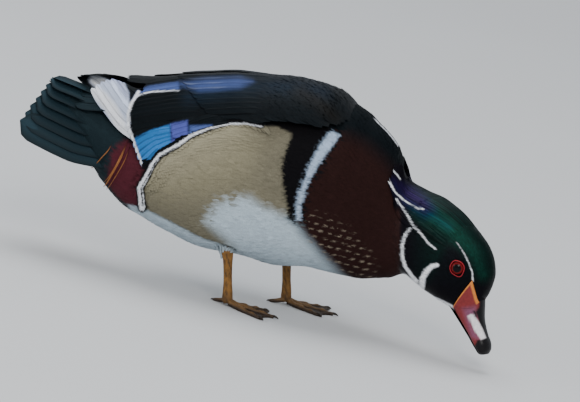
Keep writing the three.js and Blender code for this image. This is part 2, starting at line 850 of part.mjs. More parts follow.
// True when some edge does not join exactly two faces once the points are rounded
function pinched(body) {
  const { numProp, vertProperties, triVerts } = body.getMesh();
  const places = new Map();
  const placeOf = (index) => {
    const start = index * numProp;
    const key = [0, 1, 2]
      .map((k) => Math.round(vertProperties[start + k] * ROUNDING))
      .join();
    if (!places.has(key)) places.set(key, places.size);
    return places.get(key);
  };
  const edges = new Map();
  for (let i = 0; i < triVerts.length; i += 3) {
    const corner = [0, 1, 2].map((k) => placeOf(triVerts[i + k]));
    if (new Set(corner).size < 3) continue;
    for (let k = 0; k < 3; k += 1) {
      const pair = [corner[k], corner[(k + 1) % 3]].sort((a, b) => a - b).join();
      edges.set(pair, (edges.get(pair) ?? 0) + 1);
    }
  }
  return [...edges.values()].some((count) => count !== 2);
}

// The body with needlessly small faces merged, at the first step that keeps it whole
function lean(body) {
  for (const step of SMOOTH_STEPS) {
    const merged = biggest(body.asOriginal().simplify(step));
    if (!pinched(merged)) return merged;
  }
  return body;
}

// Assembly
const group = new THREE.Group();
function add(name, body, colour, roughness = 0.7) {
  const turned = lean(body.warp(bend));
  const mesh = turned.getMesh();
  const geometry = new THREE.BufferGeometry();
  const stride = mesh.numProp;
  const positions = new Float32Array((mesh.vertProperties.length / stride) * 3);
  for (let i = 0; i < positions.length / 3; i += 1) {
    for (let k = 0; k < 3; k += 1) {
      positions[3 * i + k] = mesh.vertProperties[stride * i + k];
    }
  }
  geometry.setAttribute("position", new THREE.BufferAttribute(positions, 3));
  geometry.setIndex([...mesh.triVerts]);
  geometry.computeVertexNormals();
  const material = new THREE.MeshStandardMaterial({ color: colour, roughness });
  const node = new THREE.Mesh(geometry, material);
  node.name = name;
  group.add(node);
}

const eye = eyeball(EYE_RADIUS);
add("torso", torso, 0xb9aa8c);
add("neck", neck, 0x3a2226);
add("head", head, 0x1d4a3a, 0.4);
add("bill_upper", billUpper, 0xa8402e, 0.35);
add("bill_lower", billLower, 0x151515, 0.35);
add("eye_right", eye, 0xb02818, 0.1);
add("eye_left", mirrorY(eye), 0xb02818, 0.1);
add("wing_right", wing(false), 0x22304a, 0.4);
add("wing_left", wing(true), 0x22304a, 0.4);
add("tail", tailBody, 0x1c2420, 0.5);
add("thigh_right", thighRight, 0x8d8068);
add("thigh_left", thighLeft, 0x8d8068);
add("tarsus_right", tarsusRight, 0xb08a3c, 0.5);
add("tarsus_left", tarsusLeft, 0xb08a3c, 0.5);
add("foot_right", footRight, 0x6a5334, 0.5);
add("foot_left", footLeft, 0x6a5334, 0.5);

export default group;
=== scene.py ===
import math

import bmesh
import bpy
import numpy as np
from mathutils import Matrix, Vector


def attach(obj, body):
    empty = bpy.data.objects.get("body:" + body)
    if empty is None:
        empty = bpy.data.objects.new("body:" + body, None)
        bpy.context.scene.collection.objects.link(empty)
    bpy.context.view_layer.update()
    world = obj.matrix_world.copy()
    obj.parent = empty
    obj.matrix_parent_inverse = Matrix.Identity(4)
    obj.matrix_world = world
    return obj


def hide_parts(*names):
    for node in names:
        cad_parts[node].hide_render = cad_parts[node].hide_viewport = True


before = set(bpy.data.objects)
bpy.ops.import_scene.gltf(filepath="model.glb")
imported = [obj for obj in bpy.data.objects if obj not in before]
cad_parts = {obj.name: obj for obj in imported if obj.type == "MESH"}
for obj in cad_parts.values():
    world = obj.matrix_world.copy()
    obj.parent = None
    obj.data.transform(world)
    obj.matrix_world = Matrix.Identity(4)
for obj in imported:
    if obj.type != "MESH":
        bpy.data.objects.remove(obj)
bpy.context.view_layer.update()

# Drake wood duck. Shapes are worked out in millimetres with the bird's middle plane at y = 0,
# its head straight ahead and x = 0 over the belly; place() turns the head and gives metres.
MM = 0.001
MIDDLE_X = -42.25
HEAD_TURN = math.radians(15)
TURN_PIVOT, TURN_START, TURN_END = 50.0, 40.0, 100.0
RNG = np.random.default_rng(11)

# Cross-sections of the flesh from tail root to forehead:
# upper point x z, lower point x z, half width, squareness, fullness below the middle
FLESH = np.array([
    [-226, 131, -224, 121, 10, 2, 0],
    [-214, 132, -212, 107, 17, 2, 0],
    [-200, 131.5, -198, 90, 23, 2, 0],
    [-184, 131, -183, 73, 27, 2, 0],
    [-168, 131, -168, 60, 31, 2, 0],
    [-152, 133, -152, 50.5, 35, 2, 0],
    [-134, 143, -134, 45, 42, 2.1, 0],
    [-112, 156, -113, 40, 50, 2.2, 0.03],
    [-84, 169, -86, 35.5, 56, 2.2, 0.05],
    [-52, 178, -54, 37, 59, 2.2, 0.05],
    [-24, 181, -25, 36.5, 59, 2.2, 0.05],
    [2, 180.5, 0, 41, 56, 2.2, 0.05],
    [20, 175, 18, 41.5, 51, 2.2, 0.06],
    [33, 167.5, 33, 41.7, 45, 2.1, 0.08],
    [42, 161.3, 46, 43, 39, 2.1, 0.1],
    [49.5, 153.8, 58, 46.5, 34, 2.1, 0.1],
    [54.8, 144.2, 69, 50.5, 30.5, 2.1, 0.08],
    [59, 134, 78, 55.5, 28, 2.1, 0.06],
    [66, 127.2, 84.5, 55.5, 26.3, 2.1, 0.06],
    [80, 124.4, 90.5, 53.4, 25, 2.15, 0.08],
    [95, 123.2, 96, 51.4, 24, 2.15, 0.1],
    [109.3, 120, 102.5, 49, 23, 2.15, 0.1],
    [122.3, 115.1, 109, 47, 21.5, 2.15, 0.1],
    [134.3, 107.4, 115.5, 45, 19.6, 2.15, 0.08],
    [143.9, 99.8, 120.8, 43.7, 17.2, 2.1, 0.05],
    [150.5, 90.8, 124.6, 42.7, 14.8, 2.1, 0],
    [154.2, 80.8, 127.1, 41.8, 12.6, 2.1, 0],
    [154.5, 73.1, 128.7, 41, 11.3, 2.1, 0],
    [153, 64, 131.5, 38.9, 10.2, 2.1, 0],
    [149.8, 53.6, 134.8, 36.6, 9.2, 2.1, 0],
], float)

# Positions along these sections: the skin's front end, where the coat stops keeping clear of
# the wings and starts keeping clear of the eyes, where the skin's head colours start, and
# the span that the map of the skin and coat covers
FACE_END = 29.0
TRUNK_END = 18
HEAD_START = 20
SKIN_HEAD_START = 17
SECTION_SPAN = 29.3

# Envelope of the folded wings, the same seven values
MANTLE = np.array([
    [-226, 142, -226, 134, 11, 2.2, 0],
    [-205, 148.5, -205, 130, 19, 2.3, 0],
    [-185, 155, -185, 113, 25.5, 2.3, 0],
    [-165, 158, -165, 87, 33, 2.2, 0],
    [-145, 163, -145, 64, 41.5, 2.1, 0],
    [-120, 171.5, -120, 46, 50.5, 2, 0],
    [-90, 180, -90, 37, 58, 2.1, 0],
    [-60, 185.5, -60, 37, 61, 2.2, 0],
    [-30, 188.5, -30, 37, 61.5, 2.2, 0],
    [0, 185, 0, 41, 58.5, 2.2, 0],
    [18, 174, 18, 41, 52, 2.2, 0],
], float)

# Cross-sections of the bill: culmen x z, mouth x z, jaw x z, half width
BILL = np.array([
    [148, 70, 125.2, 46.3, 124, 46, 10.2],
    [151.4, 54, 134.9, 37.5, 134.5, 37, 9.7],
    [154, 42.5, 141.9, 31, 141.5, 30.6, 8.9],
    [157.4, 35, 147.1, 26.1, 146.7, 25.8, 8.3],
    [160.8, 29.3, 151.8, 21.5, 151.5, 21.2, 8.5],
    [163.6, 25, 155.3, 18.3, 155, 18, 8.6],
    [165, 20, 158.4, 15.2, 158.2, 15, 7.3],
    [164.3, 16, 160.8, 14.5, 160.6, 14.4, 4.2],
], float)

# The eye: its middle as x z, the ball's radius and how far it stands out, the radius that is
# kept free of feathers, then the lid, the iris and the pupil
EYE_PLACE = (129.3, 78.8)
EYE_RADIUS = 6.8
EYE_OUT = 2.1
BARE_RADIUS = 6.3
LID_LINE = 5.65
LID_THICK = 0.42
LID_CORNERS = (1.4, 0.6)
LID_BEADS, LID_BEAD_HEIGHT = 17, 0.12
EYE_CORNER_WAY = (0.55, 0, -0.83)
IRIS_RADIUS = 4.75
PUPIL_RADIUS = 3.4

# The legs: where each foot stands, the middle toe, and the tuft at the top of the shank
FOOT_SPREAD = 30.0
FOOT_X = {"right": -53.0, "left": -15.0}
TOE_LENGTH = 44.0
THIGH_BACK = 10.5
THIGH_HEIGHT = 44.5
THIGH_FEATHERS = 420
THIGH_FEATHER_SIZE = (8.4, 2.1, 1.3)
SIDES = {"right": -1.0, "left": 1.0}


# Shapes of the lofted surfaces
def unit(v):
    return v / np.linalg.norm(v, axis=-1, keepdims=True)


def section(rows, u):
    """Rows of a section table, smoothly interpolated at positions u."""
    u = np.clip(np.asarray(u, float), 0, len(rows) - 1)
    i = np.minimum(u.astype(int), len(rows) - 2)
    t = (u - i)[..., None]
    before, here = rows[np.maximum(i - 1, 0)], rows[i]
    there, after = rows[i + 1], rows[np.minimum(i + 2, len(rows) - 1)]
    slope_a, slope_b = (there - before) / 2, (after - here) / 2
    t2, t3 = t * t, t * t * t
    return (here * (2 * t3 - 3 * t2 + 1) + slope_a * (t3 - 2 * t2 + t)
            + there * (3 * t2 - 2 * t3) + slope_b * (t3 - t2))


def on_surface(rows, u, phi, off=0.0, side=-1.0):
    """Point of a lofted surface: phi 0 is the top and a quarter turn the given side."""
    s = section(rows, u)
    phi = np.asarray(phi, float)
    top, low = s[..., 0:2], s[..., 2:4]
    half = np.linalg.norm(top - low, axis=-1) / 2
    axis = (top - low) / 2 / half[..., None]
    power = 2 / s[..., 5]
    cosine, sine = np.cos(phi), np.sin(phi)
    up = np.sign(cosine) * np.abs(cosine) ** power * (half + off)
    out = np.sign(sine) * np.abs(sine) ** power * (s[..., 4] + off)
    middle = (top + low) / 2
    return np.stack([middle[..., 0] + axis[..., 0] * up,
                     side * out * (1 - s[..., 6] * cosine),
                     middle[..., 1] + axis[..., 1] * up], -1)


def surface_frame(rows, u, phi, side=-1.0):
    """Forward and outward directions of a lofted surface."""
    du, da = 0.02, 0.01
    forward = on_surface(rows, u + du, phi, 0, side) - on_surface(rows, u - du, phi, 0, side)
    around = on_surface(rows, u, phi + da, 0, side) - on_surface(rows, u, phi - da, 0, side)
    forward /= np.linalg.norm(forward, axis=-1, keepdims=True) + 1e-9
    normal = np.cross(forward, around)
    normal /= np.linalg.norm(normal, axis=-1, keepdims=True) + 1e-9
    outward = on_surface(rows, u, phi, 1.0, side) - on_surface(rows, u, phi, 0, side)
    flip = np.sign((normal * outward).sum(-1, keepdims=True))
    return forward, normal * np.where(flip == 0, 1, flip)


def turn_angle(x):
    share = np.clip((x - TURN_START) / (TURN_END - TURN_START), 0, 1)
    return HEAD_TURN * share * share * (3 - 2 * share)


def bent(p):
    """The turned head: points of the straight bird moved to where they are, in millimetres."""
    p = np.asarray(p, float)
    a = turn_angle(p[..., 0])
    x, y = p[..., 0] - TURN_PIVOT, p[..., 1]
    return np.stack([TURN_PIVOT + x * np.cos(a) + y * np.sin(a),
                     -x * np.sin(a) + y * np.cos(a), p[..., 2]], -1)


def straight(p):
    """The inverse of bent()."""
    p = np.asarray(p, float)
    x = p[..., 0].copy()
    for _ in range(8):
        a = turn_angle(x)
        dx = p[..., 0] - TURN_PIVOT
        x = TURN_PIVOT + dx * np.cos(a) - p[..., 1] * np.sin(a)
    a = turn_angle(x)
    y = (p[..., 0] - TURN_PIVOT) * np.sin(a) + p[..., 1] * np.cos(a)
    return np.stack([x, y, p[..., 2]], -1)


def place(p):
    """Metres in the model's frame."""
    q = bent(p)
    q[..., 0] -= MIDDLE_X
    return q * MM


def unplace(q):
    """The inverse of place()."""
    p = np.array(q, float) / MM
    p[..., 0] += MIDDLE_X
    return straight(p)


# The camera of the photograph, which also says where each marking lies
VIEW_SIDE = math.radians(10)
VIEW_RISE = math.radians(10)
VIEW_ROLL = math.radians(13)
PIXEL = 0.8
WIDTH, HEIGHT = 580, 402
MARK_PIXEL = np.array([300.0, 300.0])
MARK_POINT = np.array([0.0, 0.0, 13.0])


def rolled(v):
    x, y, z = v
    c, s = math.cos(VIEW_ROLL), math.sin(VIEW_ROLL)
    return np.array([x * c - z * s, y, x * s + z * c])


CAMERA_RIGHT = rolled((math.cos(VIEW_SIDE), math.sin(VIEW_SIDE), 0))
CAMERA_UP = rolled((-math.sin(VIEW_SIDE) * math.sin(VIEW_RISE),
                    math.cos(VIEW_SIDE) * math.sin(VIEW_RISE), math.cos(VIEW_RISE)))
CAMERA_BACK = rolled((math.sin(VIEW_SIDE) * math.cos(VIEW_RISE),
                      -math.cos(VIEW_SIDE) * math.cos(VIEW_RISE), math.sin(VIEW_RISE)))


def picture_place(p):
    """Pixel of the photograph where a point of the straight bird, on its right side, is seen."""
    mirrored = np.array(p, float)
    mirrored[..., 1] = -np.abs(mirrored[..., 1])
    d = bent(mirrored) - MARK_POINT
    return np.stack([MARK_PIXEL[0] + d @ CAMERA_RIGHT / PIXEL,
                     MARK_PIXEL[1] - d @ CAMERA_UP / PIXEL], -1)


# Colours
def paint(red, green, blue):
    """A colour given in display values, made linear."""
    c = np.array([red, green, blue], float) / 255
    return np.where(c <= 0.04045, c / 12.92, ((c + 0.055) / 1.055) ** 2.4)


BUFF = paint(136, 130, 107)
# Painted light and shade of the buff flank: a lit paler buff and a shaded grey-brown
BUFF_PAINTED_LIT = paint(173, 166, 141)
PAINTED_SHADE_BROWN = paint(114, 109, 92)
# The belly's and the shoulder bar's whites, painted in blue-grey shade, darker than the white of
# the flank line
BELLY_WHITE_SHADED = paint(180, 196, 206)
BAR_WHITE_SHADED = paint(168, 187, 210)
SNOW = paint(243, 245, 250)
INK = paint(9, 8, 11)
BACK_BLACK = paint(8, 15, 19)
BACK_SHEEN = paint(17, 36, 54)
BACK_BROWN = paint(30, 26, 20)
CHESTNUT = paint(40, 22, 20)
BREAST_FLECK = paint(150, 138, 120)
MAROON = paint(80, 34, 43)
PLUME_ORANGE = paint(158, 104, 62)
TAIL_BLACK = paint(27, 40, 45)
TAIL_BLUE = paint(41, 64, 75)
HEAD_GREEN = paint(5, 52, 42)
CROWN_GREEN = paint(5, 27, 24)
CREST_BLUE = paint(8, 24, 66)
CREST_PURPLE = paint(26, 12, 50)
FACE_DARK = paint(9, 6, 14)
TEAL = paint(6, 60, 66)
SPECULUM_BLUE = paint(52, 116, 182)
SPECULUM_PURPLE = paint(80, 88, 162)
BLUE_VIOLET = paint(74, 92, 148)
SILVER = paint(196, 206, 228)
PRIMARY_VIOLET = paint(96, 98, 138)


def edge_distance(px, outline, closed):
    """Distance in pixels to a polyline, and for a closed one whether a point is inside."""
    pts = np.asarray(outline, float)
    if closed:
        pts = np.vstack([pts, pts[:1]])
    best = np.full(len(px), 1e9)
    inside = np.zeros(len(px), bool)
    along = np.zeros(len(px))
    for k in range(len(pts) - 1):
        a, b = pts[k], pts[k + 1]
        ab = b - a
        t = np.clip(((px - a) @ ab) / (ab @ ab), 0, 1)
        d = np.hypot(px[:, 0] - a[0] - t * ab[0], px[:, 1] - a[1] - t * ab[1])
        nearer = d < best
        best = np.where(nearer, d, best)
        along = np.where(nearer, (k + t) / (len(pts) - 1), along)
        if closed:
            crosses = (a[1] > px[:, 1]) != (b[1] > px[:, 1])
            with np.errstate(divide="ignore", invalid="ignore"):
                at = a[0] + (px[:, 1] - a[1]) / (b[1] - a[1]) * ab[0]
            inside ^= crosses & (px[:, 0] < at)
    return best, inside, along


def in_outline(points, outline):
    return edge_distance(points, outline, True)[1]


def smooth(low, high, value):
    """0 at low, 1 at high and a smooth step between them. High may be the smaller one."""
    t = np.clip((value - low) / (high - low), 0, 1)
    return t * t * (3 - 2 * t)


def patch(px, outline, soft=1.5):
    """1 inside an outline, 0 outside, with a soft edge so many pixels wide."""
    d, inside, _ = edge_distance(px, outline, True)
    return smooth(-soft, soft, np.where(inside, d, -d))


def stroke(px, line, start, end=None, soft=0.8):
    """1 on a line that is start pixels wide where it begins and end where it stops."""
    d, _, along = edge_distance(px, line, False)
    width = start + ((start if end is None else end) - start) * along
    return smooth(soft, -soft, d - width / 2)


def lay(base, colour, amount):
    """Lays a colour over others, by an amount from 0 to 1 for each point."""
    return base + (np.asarray(colour) - base) * amount[:, None]


# Outlines of the markings, in pixels of the photograph
FLANK_TOP = [(142.5, 208), (140.6, 187.7), (147.3, 176.3), (153, 164.8), (160.7, 155.2),
             (177.9, 145.7), (191.3, 136.1), (210.4, 128.4), (229.6, 122.7), (244.9, 122.3),
             (262.1, 126.5)]
FLANK_LINE = FLANK_TOP[:8] + [(229.6, 124.3), (244.9, 124), (262.1, 127.2)]
FLANK = FLANK_TOP + [(277.4, 126.5), (292.7, 134.2), (286.1, 151.2), (281.7, 166.5),
                     (282.3, 179.3), (284.8, 192), (286.8, 204.8), (292, 216), (270, 220),
                     (244, 252), (236, 249.6), (225.8, 245), (200.9, 237.5), (172.2, 222.2),
                     (145.4, 208.8)]
GREEN_BAND = [(420, 206), (432, 216), (448, 227), (462, 240), (474, 256), (482, 274)]
EAR_GREEN = [(412, 214), (426, 226), (440, 240)]
# Front edge of the flank, towards which painted shade darkens it
FLANK_FRONT_SHADE_EDGE = [(277.4, 126.5), (292.7, 134.2), (286.1, 151.2), (281.7, 166.5), (284.8, 192)]
FLANK_LACE = [(143.2, 205), (141.6, 188), (148.6, 176.5), (154.2, 165.4), (161.8, 156),
              (178, 146.8)]
BELLY = [(206, 222), (212, 210), (226, 201), (240, 197), (250, 198), (262, 207), (280, 214),
         (294, 222), (302, 234), (318, 252), (345, 280), (330, 310), (262, 290), (240, 256),
         (226, 240)]
UNDERSIDE = [(128, 204), (145.4, 209), (172.2, 222.6), (200.9, 238), (225.8, 245.6), (236, 250),
             (262, 260), (262, 320), (120, 320)]
SHOULDER_BAR = [(330.5, 130.5), (339.5, 135.5), (329, 150.5), (318.4, 164.5), (310.8, 177.5),
                (304.8, 191.5), (301.4, 204.5), (300.6, 214), (299.8, 221), (297, 221),
                (295.6, 211.2), (297.8, 195.9), (303, 181.8), (309.4, 165.3), (319.8, 144.8)]
BLACK_BAR = [(262, 126.5), (290, 118), (330, 128), (318, 144.8), (307.8, 165.3),
             (301.4, 181.8), (296.3, 195.9), (293.8, 211.2), (296, 226), (288, 218),
             (286.8, 204.8), (284.8, 192), (282.3, 179.3), (281.7, 166.5), (286.1, 151.2),
             (292.7, 134.2), (277.4, 126.5)]
BREAST = [(341, 133), (372, 112), (384, 122), (402, 152), (404, 285), (340, 290),
          (318, 252), (302, 232), (303.3, 215), (304, 204.8), (307.8, 192),
          (314.2, 178), (321.8, 165.3), (332, 151.2)]
BREAST_SPOTS = [(306, 214), (322, 212), (346, 226), (368, 250), (376, 268), (372, 280),
                (345, 276), (322, 254), (304, 236)]
HINDNECK = [(330, 80), (330, 128), (345, 134), (366, 144), (384, 160), (396, 176), (420, 176),
            (420, 80)]
RUMP = [(107, 184), (108, 166), (114, 150), (126, 138), (136, 148), (142, 166), (143, 186),
        (143, 206), (128, 206), (116, 196)]
UNDER_WING = [(150, 50), (143, 100), (138, 130), (150, 160), (166, 140), (190, 128), (214, 120),
              (262, 118), (312, 120), (330, 104), (330, 40)]
MANTLE_AREA = [(146, 30), (146, 82), (190, 82), (190, 92), (196, 108), (206, 121), (240, 118.5),
               (262, 122), (296, 121), (322, 127), (338, 124), (356, 118), (392, 130), (400, 30)]
# Painted reflection: a thin white glint of the sky along the ridge of the hindneck
NAPE_GLINT_LINE = [(374.8, 120.4), (386.3, 131.9), (396.8, 145.9)]
CREST_STRIPE = [(386, 177), (388.9, 182), (394.7, 192.6), (403.3, 200.1), (413.6, 207),
                (424, 209.6)]
CREST_SHORT = [(392, 170), (395.8, 174), (399.6, 179)]
EAR_STRIPE = [(395.8, 199), (400.4, 205.8), (406.7, 215.6), (412.5, 225.3),
              (420.5, 234), (427.4, 243.1), (434.3, 248.3)]
BROW_LINE = [(456.1, 242.6), (459.5, 247.7), (463.6, 254.6), (467.6, 262.7), (471, 271.8),
             (471.8, 279.9)]
COLLAR = [(409.6, 228.2), (404.4, 235.1), (401.6, 245.4), (401.6, 255.8), (404.4, 266.1),
          (410.2, 274.1), (415.9, 281)]
CHEEK_SPUR = [(436.2, 264.6), (430.8, 266), (425.6, 271), (422, 277.6), (420.5, 288)]
CHIN = [(404, 273), (414.8, 281), (423.2, 289.6), (433.6, 296), (443, 300.2),
        (452.5, 305), (456, 318), (420, 304)]
PURPLE_CREST = [(392, 178), (404, 184), (424, 196), (432, 208), (424, 212), (402, 198)]
FACE_SHADE = [(437, 262), (446, 246), (470, 250), (488, 262), (494, 282), (484, 306),
              (450, 304), (425, 288)]
SPECULUM = [(131, 141), (150, 131), (171, 124.5), (172, 143.5), (160, 150.5), (153, 157),
            (149, 167), (147, 177), (140, 166), (134.4, 158.2), (131, 150)]
SPECULUM_FRONT = [(171, 124.5), (188, 121), (189, 138), (172, 143)]
VIOLET_FRONT = [(190, 126), (212, 125.5), (214, 129), (200, 132), (190, 136)]
TRAILING_WHITE = [(139, 92), (131.5, 104.6), (128.6, 113.6), (129, 127), (132.8, 138),
                  (136.8, 149), (140.4, 159), (144, 168)]
TERTIAL_STRIP = [(132, 101), (138, 91), (150, 86), (178, 82), (180, 90), (155, 91), (141, 94)]
TERTIAL_WHITE = [(132, 102), (140, 95), (150, 92.5), (165, 91.5), (180, 91)]
SCAPULAR_BAND = [(180, 84), (205, 80), (240, 78.5), (252, 82), (240, 87.5), (200, 91)]
PRIMARY_SILVER = [(80, 88), (88, 75), (100, 70.5), (114, 72), (124, 81), (129.5, 94), (130.5, 142),
                  (116, 136), (104, 116)]
BACK_SHEEN_LINE = [(190, 97), (250, 86), (296, 86), (322, 92)]
BACK_WARM = [(300, 92), (318, 102), (334, 118)]
PRIMARY_SHADE = [(106, 74), (118, 80), (127, 96)]
PRIMARY_EDGE = [(88, 86), (104, 99.5), (112, 109), (119, 122), (128, 140)]
PRIMARY_TOP = 158

# How far each feather's own colour border wanders, in pixels along and up
EDGE_SCATTER = np.array([2.4, 2.0])

# Painted light and shade: the flank is lit palest above one slanting line, shaded greyer below a
# second
PALE_MARK = (185, 140)
PALE_SLANT = 0.55
LOW_MARK = (215, 196)
LOW_SLANT = 0.12

# The small pale dashes on the breast: their spacing along and across their rows in pixels,
# the tilt of the rows, and the shares of that spacing at which a dash fades out
FLECK_SPACING = (9.6, 6.4)
FLECK_TURN = (0.97, 0.25)
FLECK_STAGGER = 0.37
FLECK_LENGTH = (0.25, 0.14)
FLECK_HEIGHT = (0.13, 0.04)

# Where the tail begins, and where the head's plumage meets the breast
TAIL_BEGINS = (134, 122)
NECK_FRONT = 398
NECK_TOP = (205, 214)

# The white lines of the head: width where each begins and where it ends, softness of its edge
HEAD_LINES = [(CREST_STRIPE, 2.4, 0.3, 0.5), (CREST_SHORT, 1.0, 0.8, 0.5),
              (EAR_STRIPE, 1.2, 1.6, 0.5), (BROW_LINE, 0.2, 1.4, 0.5),
              (COLLAR, 1.8, 3.6, 0.7), (CHEEK_SPUR, 3.8, 6.2, 0.8)]

# Markings of the wing: colour, outline, softness of its edge in pixels, strength
WING_PATCHES = [(BLUE_VIOLET, TERTIAL_STRIP, 1.5, 0.9), (SPECULUM_BLUE, SPECULUM, 1.2, 1),
                (SPECULUM_PURPLE, SPECULUM_FRONT, 2.0, 1), (BLUE_VIOLET, VIOLET_FRONT, 2.0, 1)]

# How glossy each area of plumage is, from 0 for matt to 1
TRUNK_GLOSS = 0.55
BREAST_GLOSS = 0.35
WING_GLOSS = 0.85
PLUME_GLOSS = 0.2
TAIL_GLOSS = 0.6
COVER_GLOSS = 0.5


def body_paint(p, tone, with_line=False):
    """Colour and gloss of the trunk's plumage, with the white flank line on its own vanes."""
    px = picture_place(p)
    px = px + RNG.normal(0, 0.35, px.shape)
    x, y = px[:, 0], px[:, 1]
    colour = np.tile(BACK_BLACK, (len(px), 1))
    gloss = np.full(len(px), TRUNK_GLOSS)
    own_edge = px + tone[:, None] * EDGE_SCATTER
    breast = patch(own_edge, BREAST, 3)
    colour = lay(colour, CHESTNUT, breast)
    colour = lay(colour, BACK_BLACK, patch(px, HINDNECK, 13))
    gloss = np.where(breast > 0.5, BREAST_GLOSS, gloss)
    rump = patch(px, RUMP, 1.5)
    colour = lay(colour, MAROON, rump)
    flank = patch(px, FLANK, 1.6)
    slope = (x - PALE_MARK[0]) * PALE_SLANT + (y - PALE_MARK[1])
    # Painted light on the flank's top, and painted shade lower down and low at the rear
    buff = lay(np.tile(BUFF, (len(px), 1)), BUFF_PAINTED_LIT, smooth(50, -14, slope) * 0.85)
    buff = lay(buff, PAINTED_SHADE_BROWN, smooth(40, 86, slope) * 0.6)
    low = smooth(-14, 26, (y - LOW_MARK[1]) - (x - LOW_MARK[0]) * LOW_SLANT + tone * 7)
    buff = lay(buff, PAINTED_SHADE_BROWN, low * smooth(285, 240, x))
    # Painted shade: the flank darker towards its front edge, where it curves away from the light
    buff = lay(buff, PAINTED_SHADE_BROWN, smooth(46, 6, edge_distance(px, FLANK_FRONT_SHADE_EDGE, False)[0]))
    colour = colour + (buff - colour) * flank[:, None]
    belly = np.maximum(patch(own_edge, BELLY, 8), patch(px, UNDERSIDE, 1.6))
    # The belly's white, painted in shade
    colour = lay(colour, BELLY_WHITE_SHADED, belly)
    colour = lay(colour, INK, patch(px, BLACK_BAR, 1.4))
    # The white shoulder bar, painted blue-grey in shade
    bar = patch(px, SHOULDER_BAR, 1.2)
    colour = lay(colour, BAR_WHITE_SHADED, bar)
    spots = patch(px, BREAST_SPOTS, 6)
    row = (y * FLECK_TURN[0] - x * FLECK_TURN[1]) / FLECK_SPACING[1]
    column = (x * FLECK_TURN[0] + y * FLECK_TURN[1]) / FLECK_SPACING[0]
    column = column + np.floor(row) * FLECK_STAGGER
    dash = (smooth(*FLECK_HEIGHT, np.abs(np.mod(row, 1) - 0.5))
            * smooth(*FLECK_LENGTH, np.abs(np.mod(column, 1) - 0.5)))
    colour = lay(colour, BREAST_FLECK, spots * dash * 0.8)
    colour = lay(colour, INK, stroke(px, FLANK_TOP, 9.4, 5.0))
    line = stroke(px, FLANK_LINE, 5.6, 0.8) * with_line
    colour = lay(colour, SNOW, line)
    colour = lay(colour, INK, stroke(px, FLANK_LACE, 1.5, 0.8, 0.4) * with_line)
    # Painted reflection: a white glint laid along the hindneck's ridge
    nape_glint = stroke(px, NAPE_GLINT_LINE, 2.0, 2.4) * smooth(2.8, 1.3, np.abs(p[:, 1] - 0.6))
    colour = lay(colour, SNOW, nape_glint * 0.85)
    colour = lay(colour, TAIL_BLACK, smooth(*TAIL_BEGINS, x) * (1 - rump))
    pale = np.maximum.reduce([flank, belly, bar, line])
    gloss = gloss * (1 - pale)
    return colour * (1 + tone[:, None] * 0.05), gloss


def head_paint(p, tone):
    """Colour and gloss of the head and crest."""
    px = picture_place(p) + RNG.normal(0, 0.22, (len(p), 2))
    colour = np.tile(FACE_DARK, (len(px), 1))
    colour = lay(colour, CROWN_GREEN, smooth(400, 440, px[:, 0]) * smooth(0, 30, 300 - px[:, 1]))
    colour = lay(colour, FACE_DARK, patch(px, FACE_SHADE, 6) * 0.8)
    colour = lay(colour, CROWN_GREEN, stroke(px, EAR_GREEN, 8, 8, 6))
    colour = lay(colour, HEAD_GREEN, stroke(px, GREEN_BAND, 16, 9, 9))
    colour = lay(colour, TEAL, stroke(px, GREEN_BAND[:3], 5, 3, 7) * 0.8)
    blue = patch(px, [(c[0], c[1] + 4) for c in PURPLE_CREST], 9)
    colour = lay(colour, CREST_BLUE, blue * 0.8)
    colour = lay(colour, CREST_PURPLE, patch(px, PURPLE_CREST, 7))
    gloss = np.full(len(px), 1.0)
    white = np.maximum.reduce([stroke(px, *line) for line in HEAD_LINES] + [patch(px, CHIN, 0.9)])
    colour = lay(colour, SNOW, white)
    breast = smooth(3, 0, px[:, 0] - NECK_FRONT) * smooth(*NECK_TOP, px[:, 1])
    colour = lay(colour, CHESTNUT, breast)
    return colour * (1 + tone[:, None] * 0.15), gloss * (1 - white)


def wing_paint(p, tone, along, across):
    """Colour and gloss of the wing's vanes, with each vane's dark edge and dark shaft."""
    px = picture_place(p) + RNG.normal(0, 0.2, (len(p), 2))
    colour = np.tile(BACK_BLACK, (len(px), 1))
    gloss = np.full(len(px), WING_GLOSS)
    # Painted sheen: the top of the back bluer, where the glossy black catches the sky
    colour = lay(colour, BACK_SHEEN, stroke(px, BACK_SHEEN_LINE, 10, 12, 12) * 0.6)
    colour = lay(colour, BACK_BROWN, stroke(px, BACK_WARM, 8, 8, 10) * 0.7)
    band = patch(px, SCAPULAR_BAND, 5.5)
    colour = lay(colour, BLUE_VIOLET, band * 0.85)
    colour = lay(colour, SILVER, band * smooth(0.5, 0.8, np.abs(across)) * 0.25)
    for wash, outline, soft, strength in WING_PATCHES:
        colour = lay(colour, wash, patch(px, outline, soft) * strength)
    rim = stroke(px, PRIMARY_EDGE, 12, 12, 3)
    silver = patch(px, PRIMARY_SILVER, 1.4) * (p[:, 2] < PRIMARY_TOP)
    silver = np.where(p[:, 1] > 0, silver * rim, silver)
    colour = lay(colour, SILVER, silver)
    colour = lay(colour, SNOW, rim * silver)
    colour = lay(colour, PRIMARY_VIOLET, stroke(px, PRIMARY_SHADE, 7, 2, 5) * silver * 0.75)
    edge = smooth(0.82, 0.95, np.abs(across))
    colour = lay(colour, INK, edge * 0.75 * (1 - silver))
    colour = lay(colour, INK, smooth(0.06, 0.02, np.abs(across)) * 0.35)
    white = np.maximum(stroke(px, TRAILING_WHITE, 2.8, 2.2, 0.7),
                       stroke(px, TERTIAL_WHITE, 1.2, 0.8, 0.5))
    colour = lay(colour, SNOW, white)
    gloss = gloss * (1 - 0.6 * np.maximum(white, silver))
    return colour * (1 + tone[:, None] * 0.12), gloss


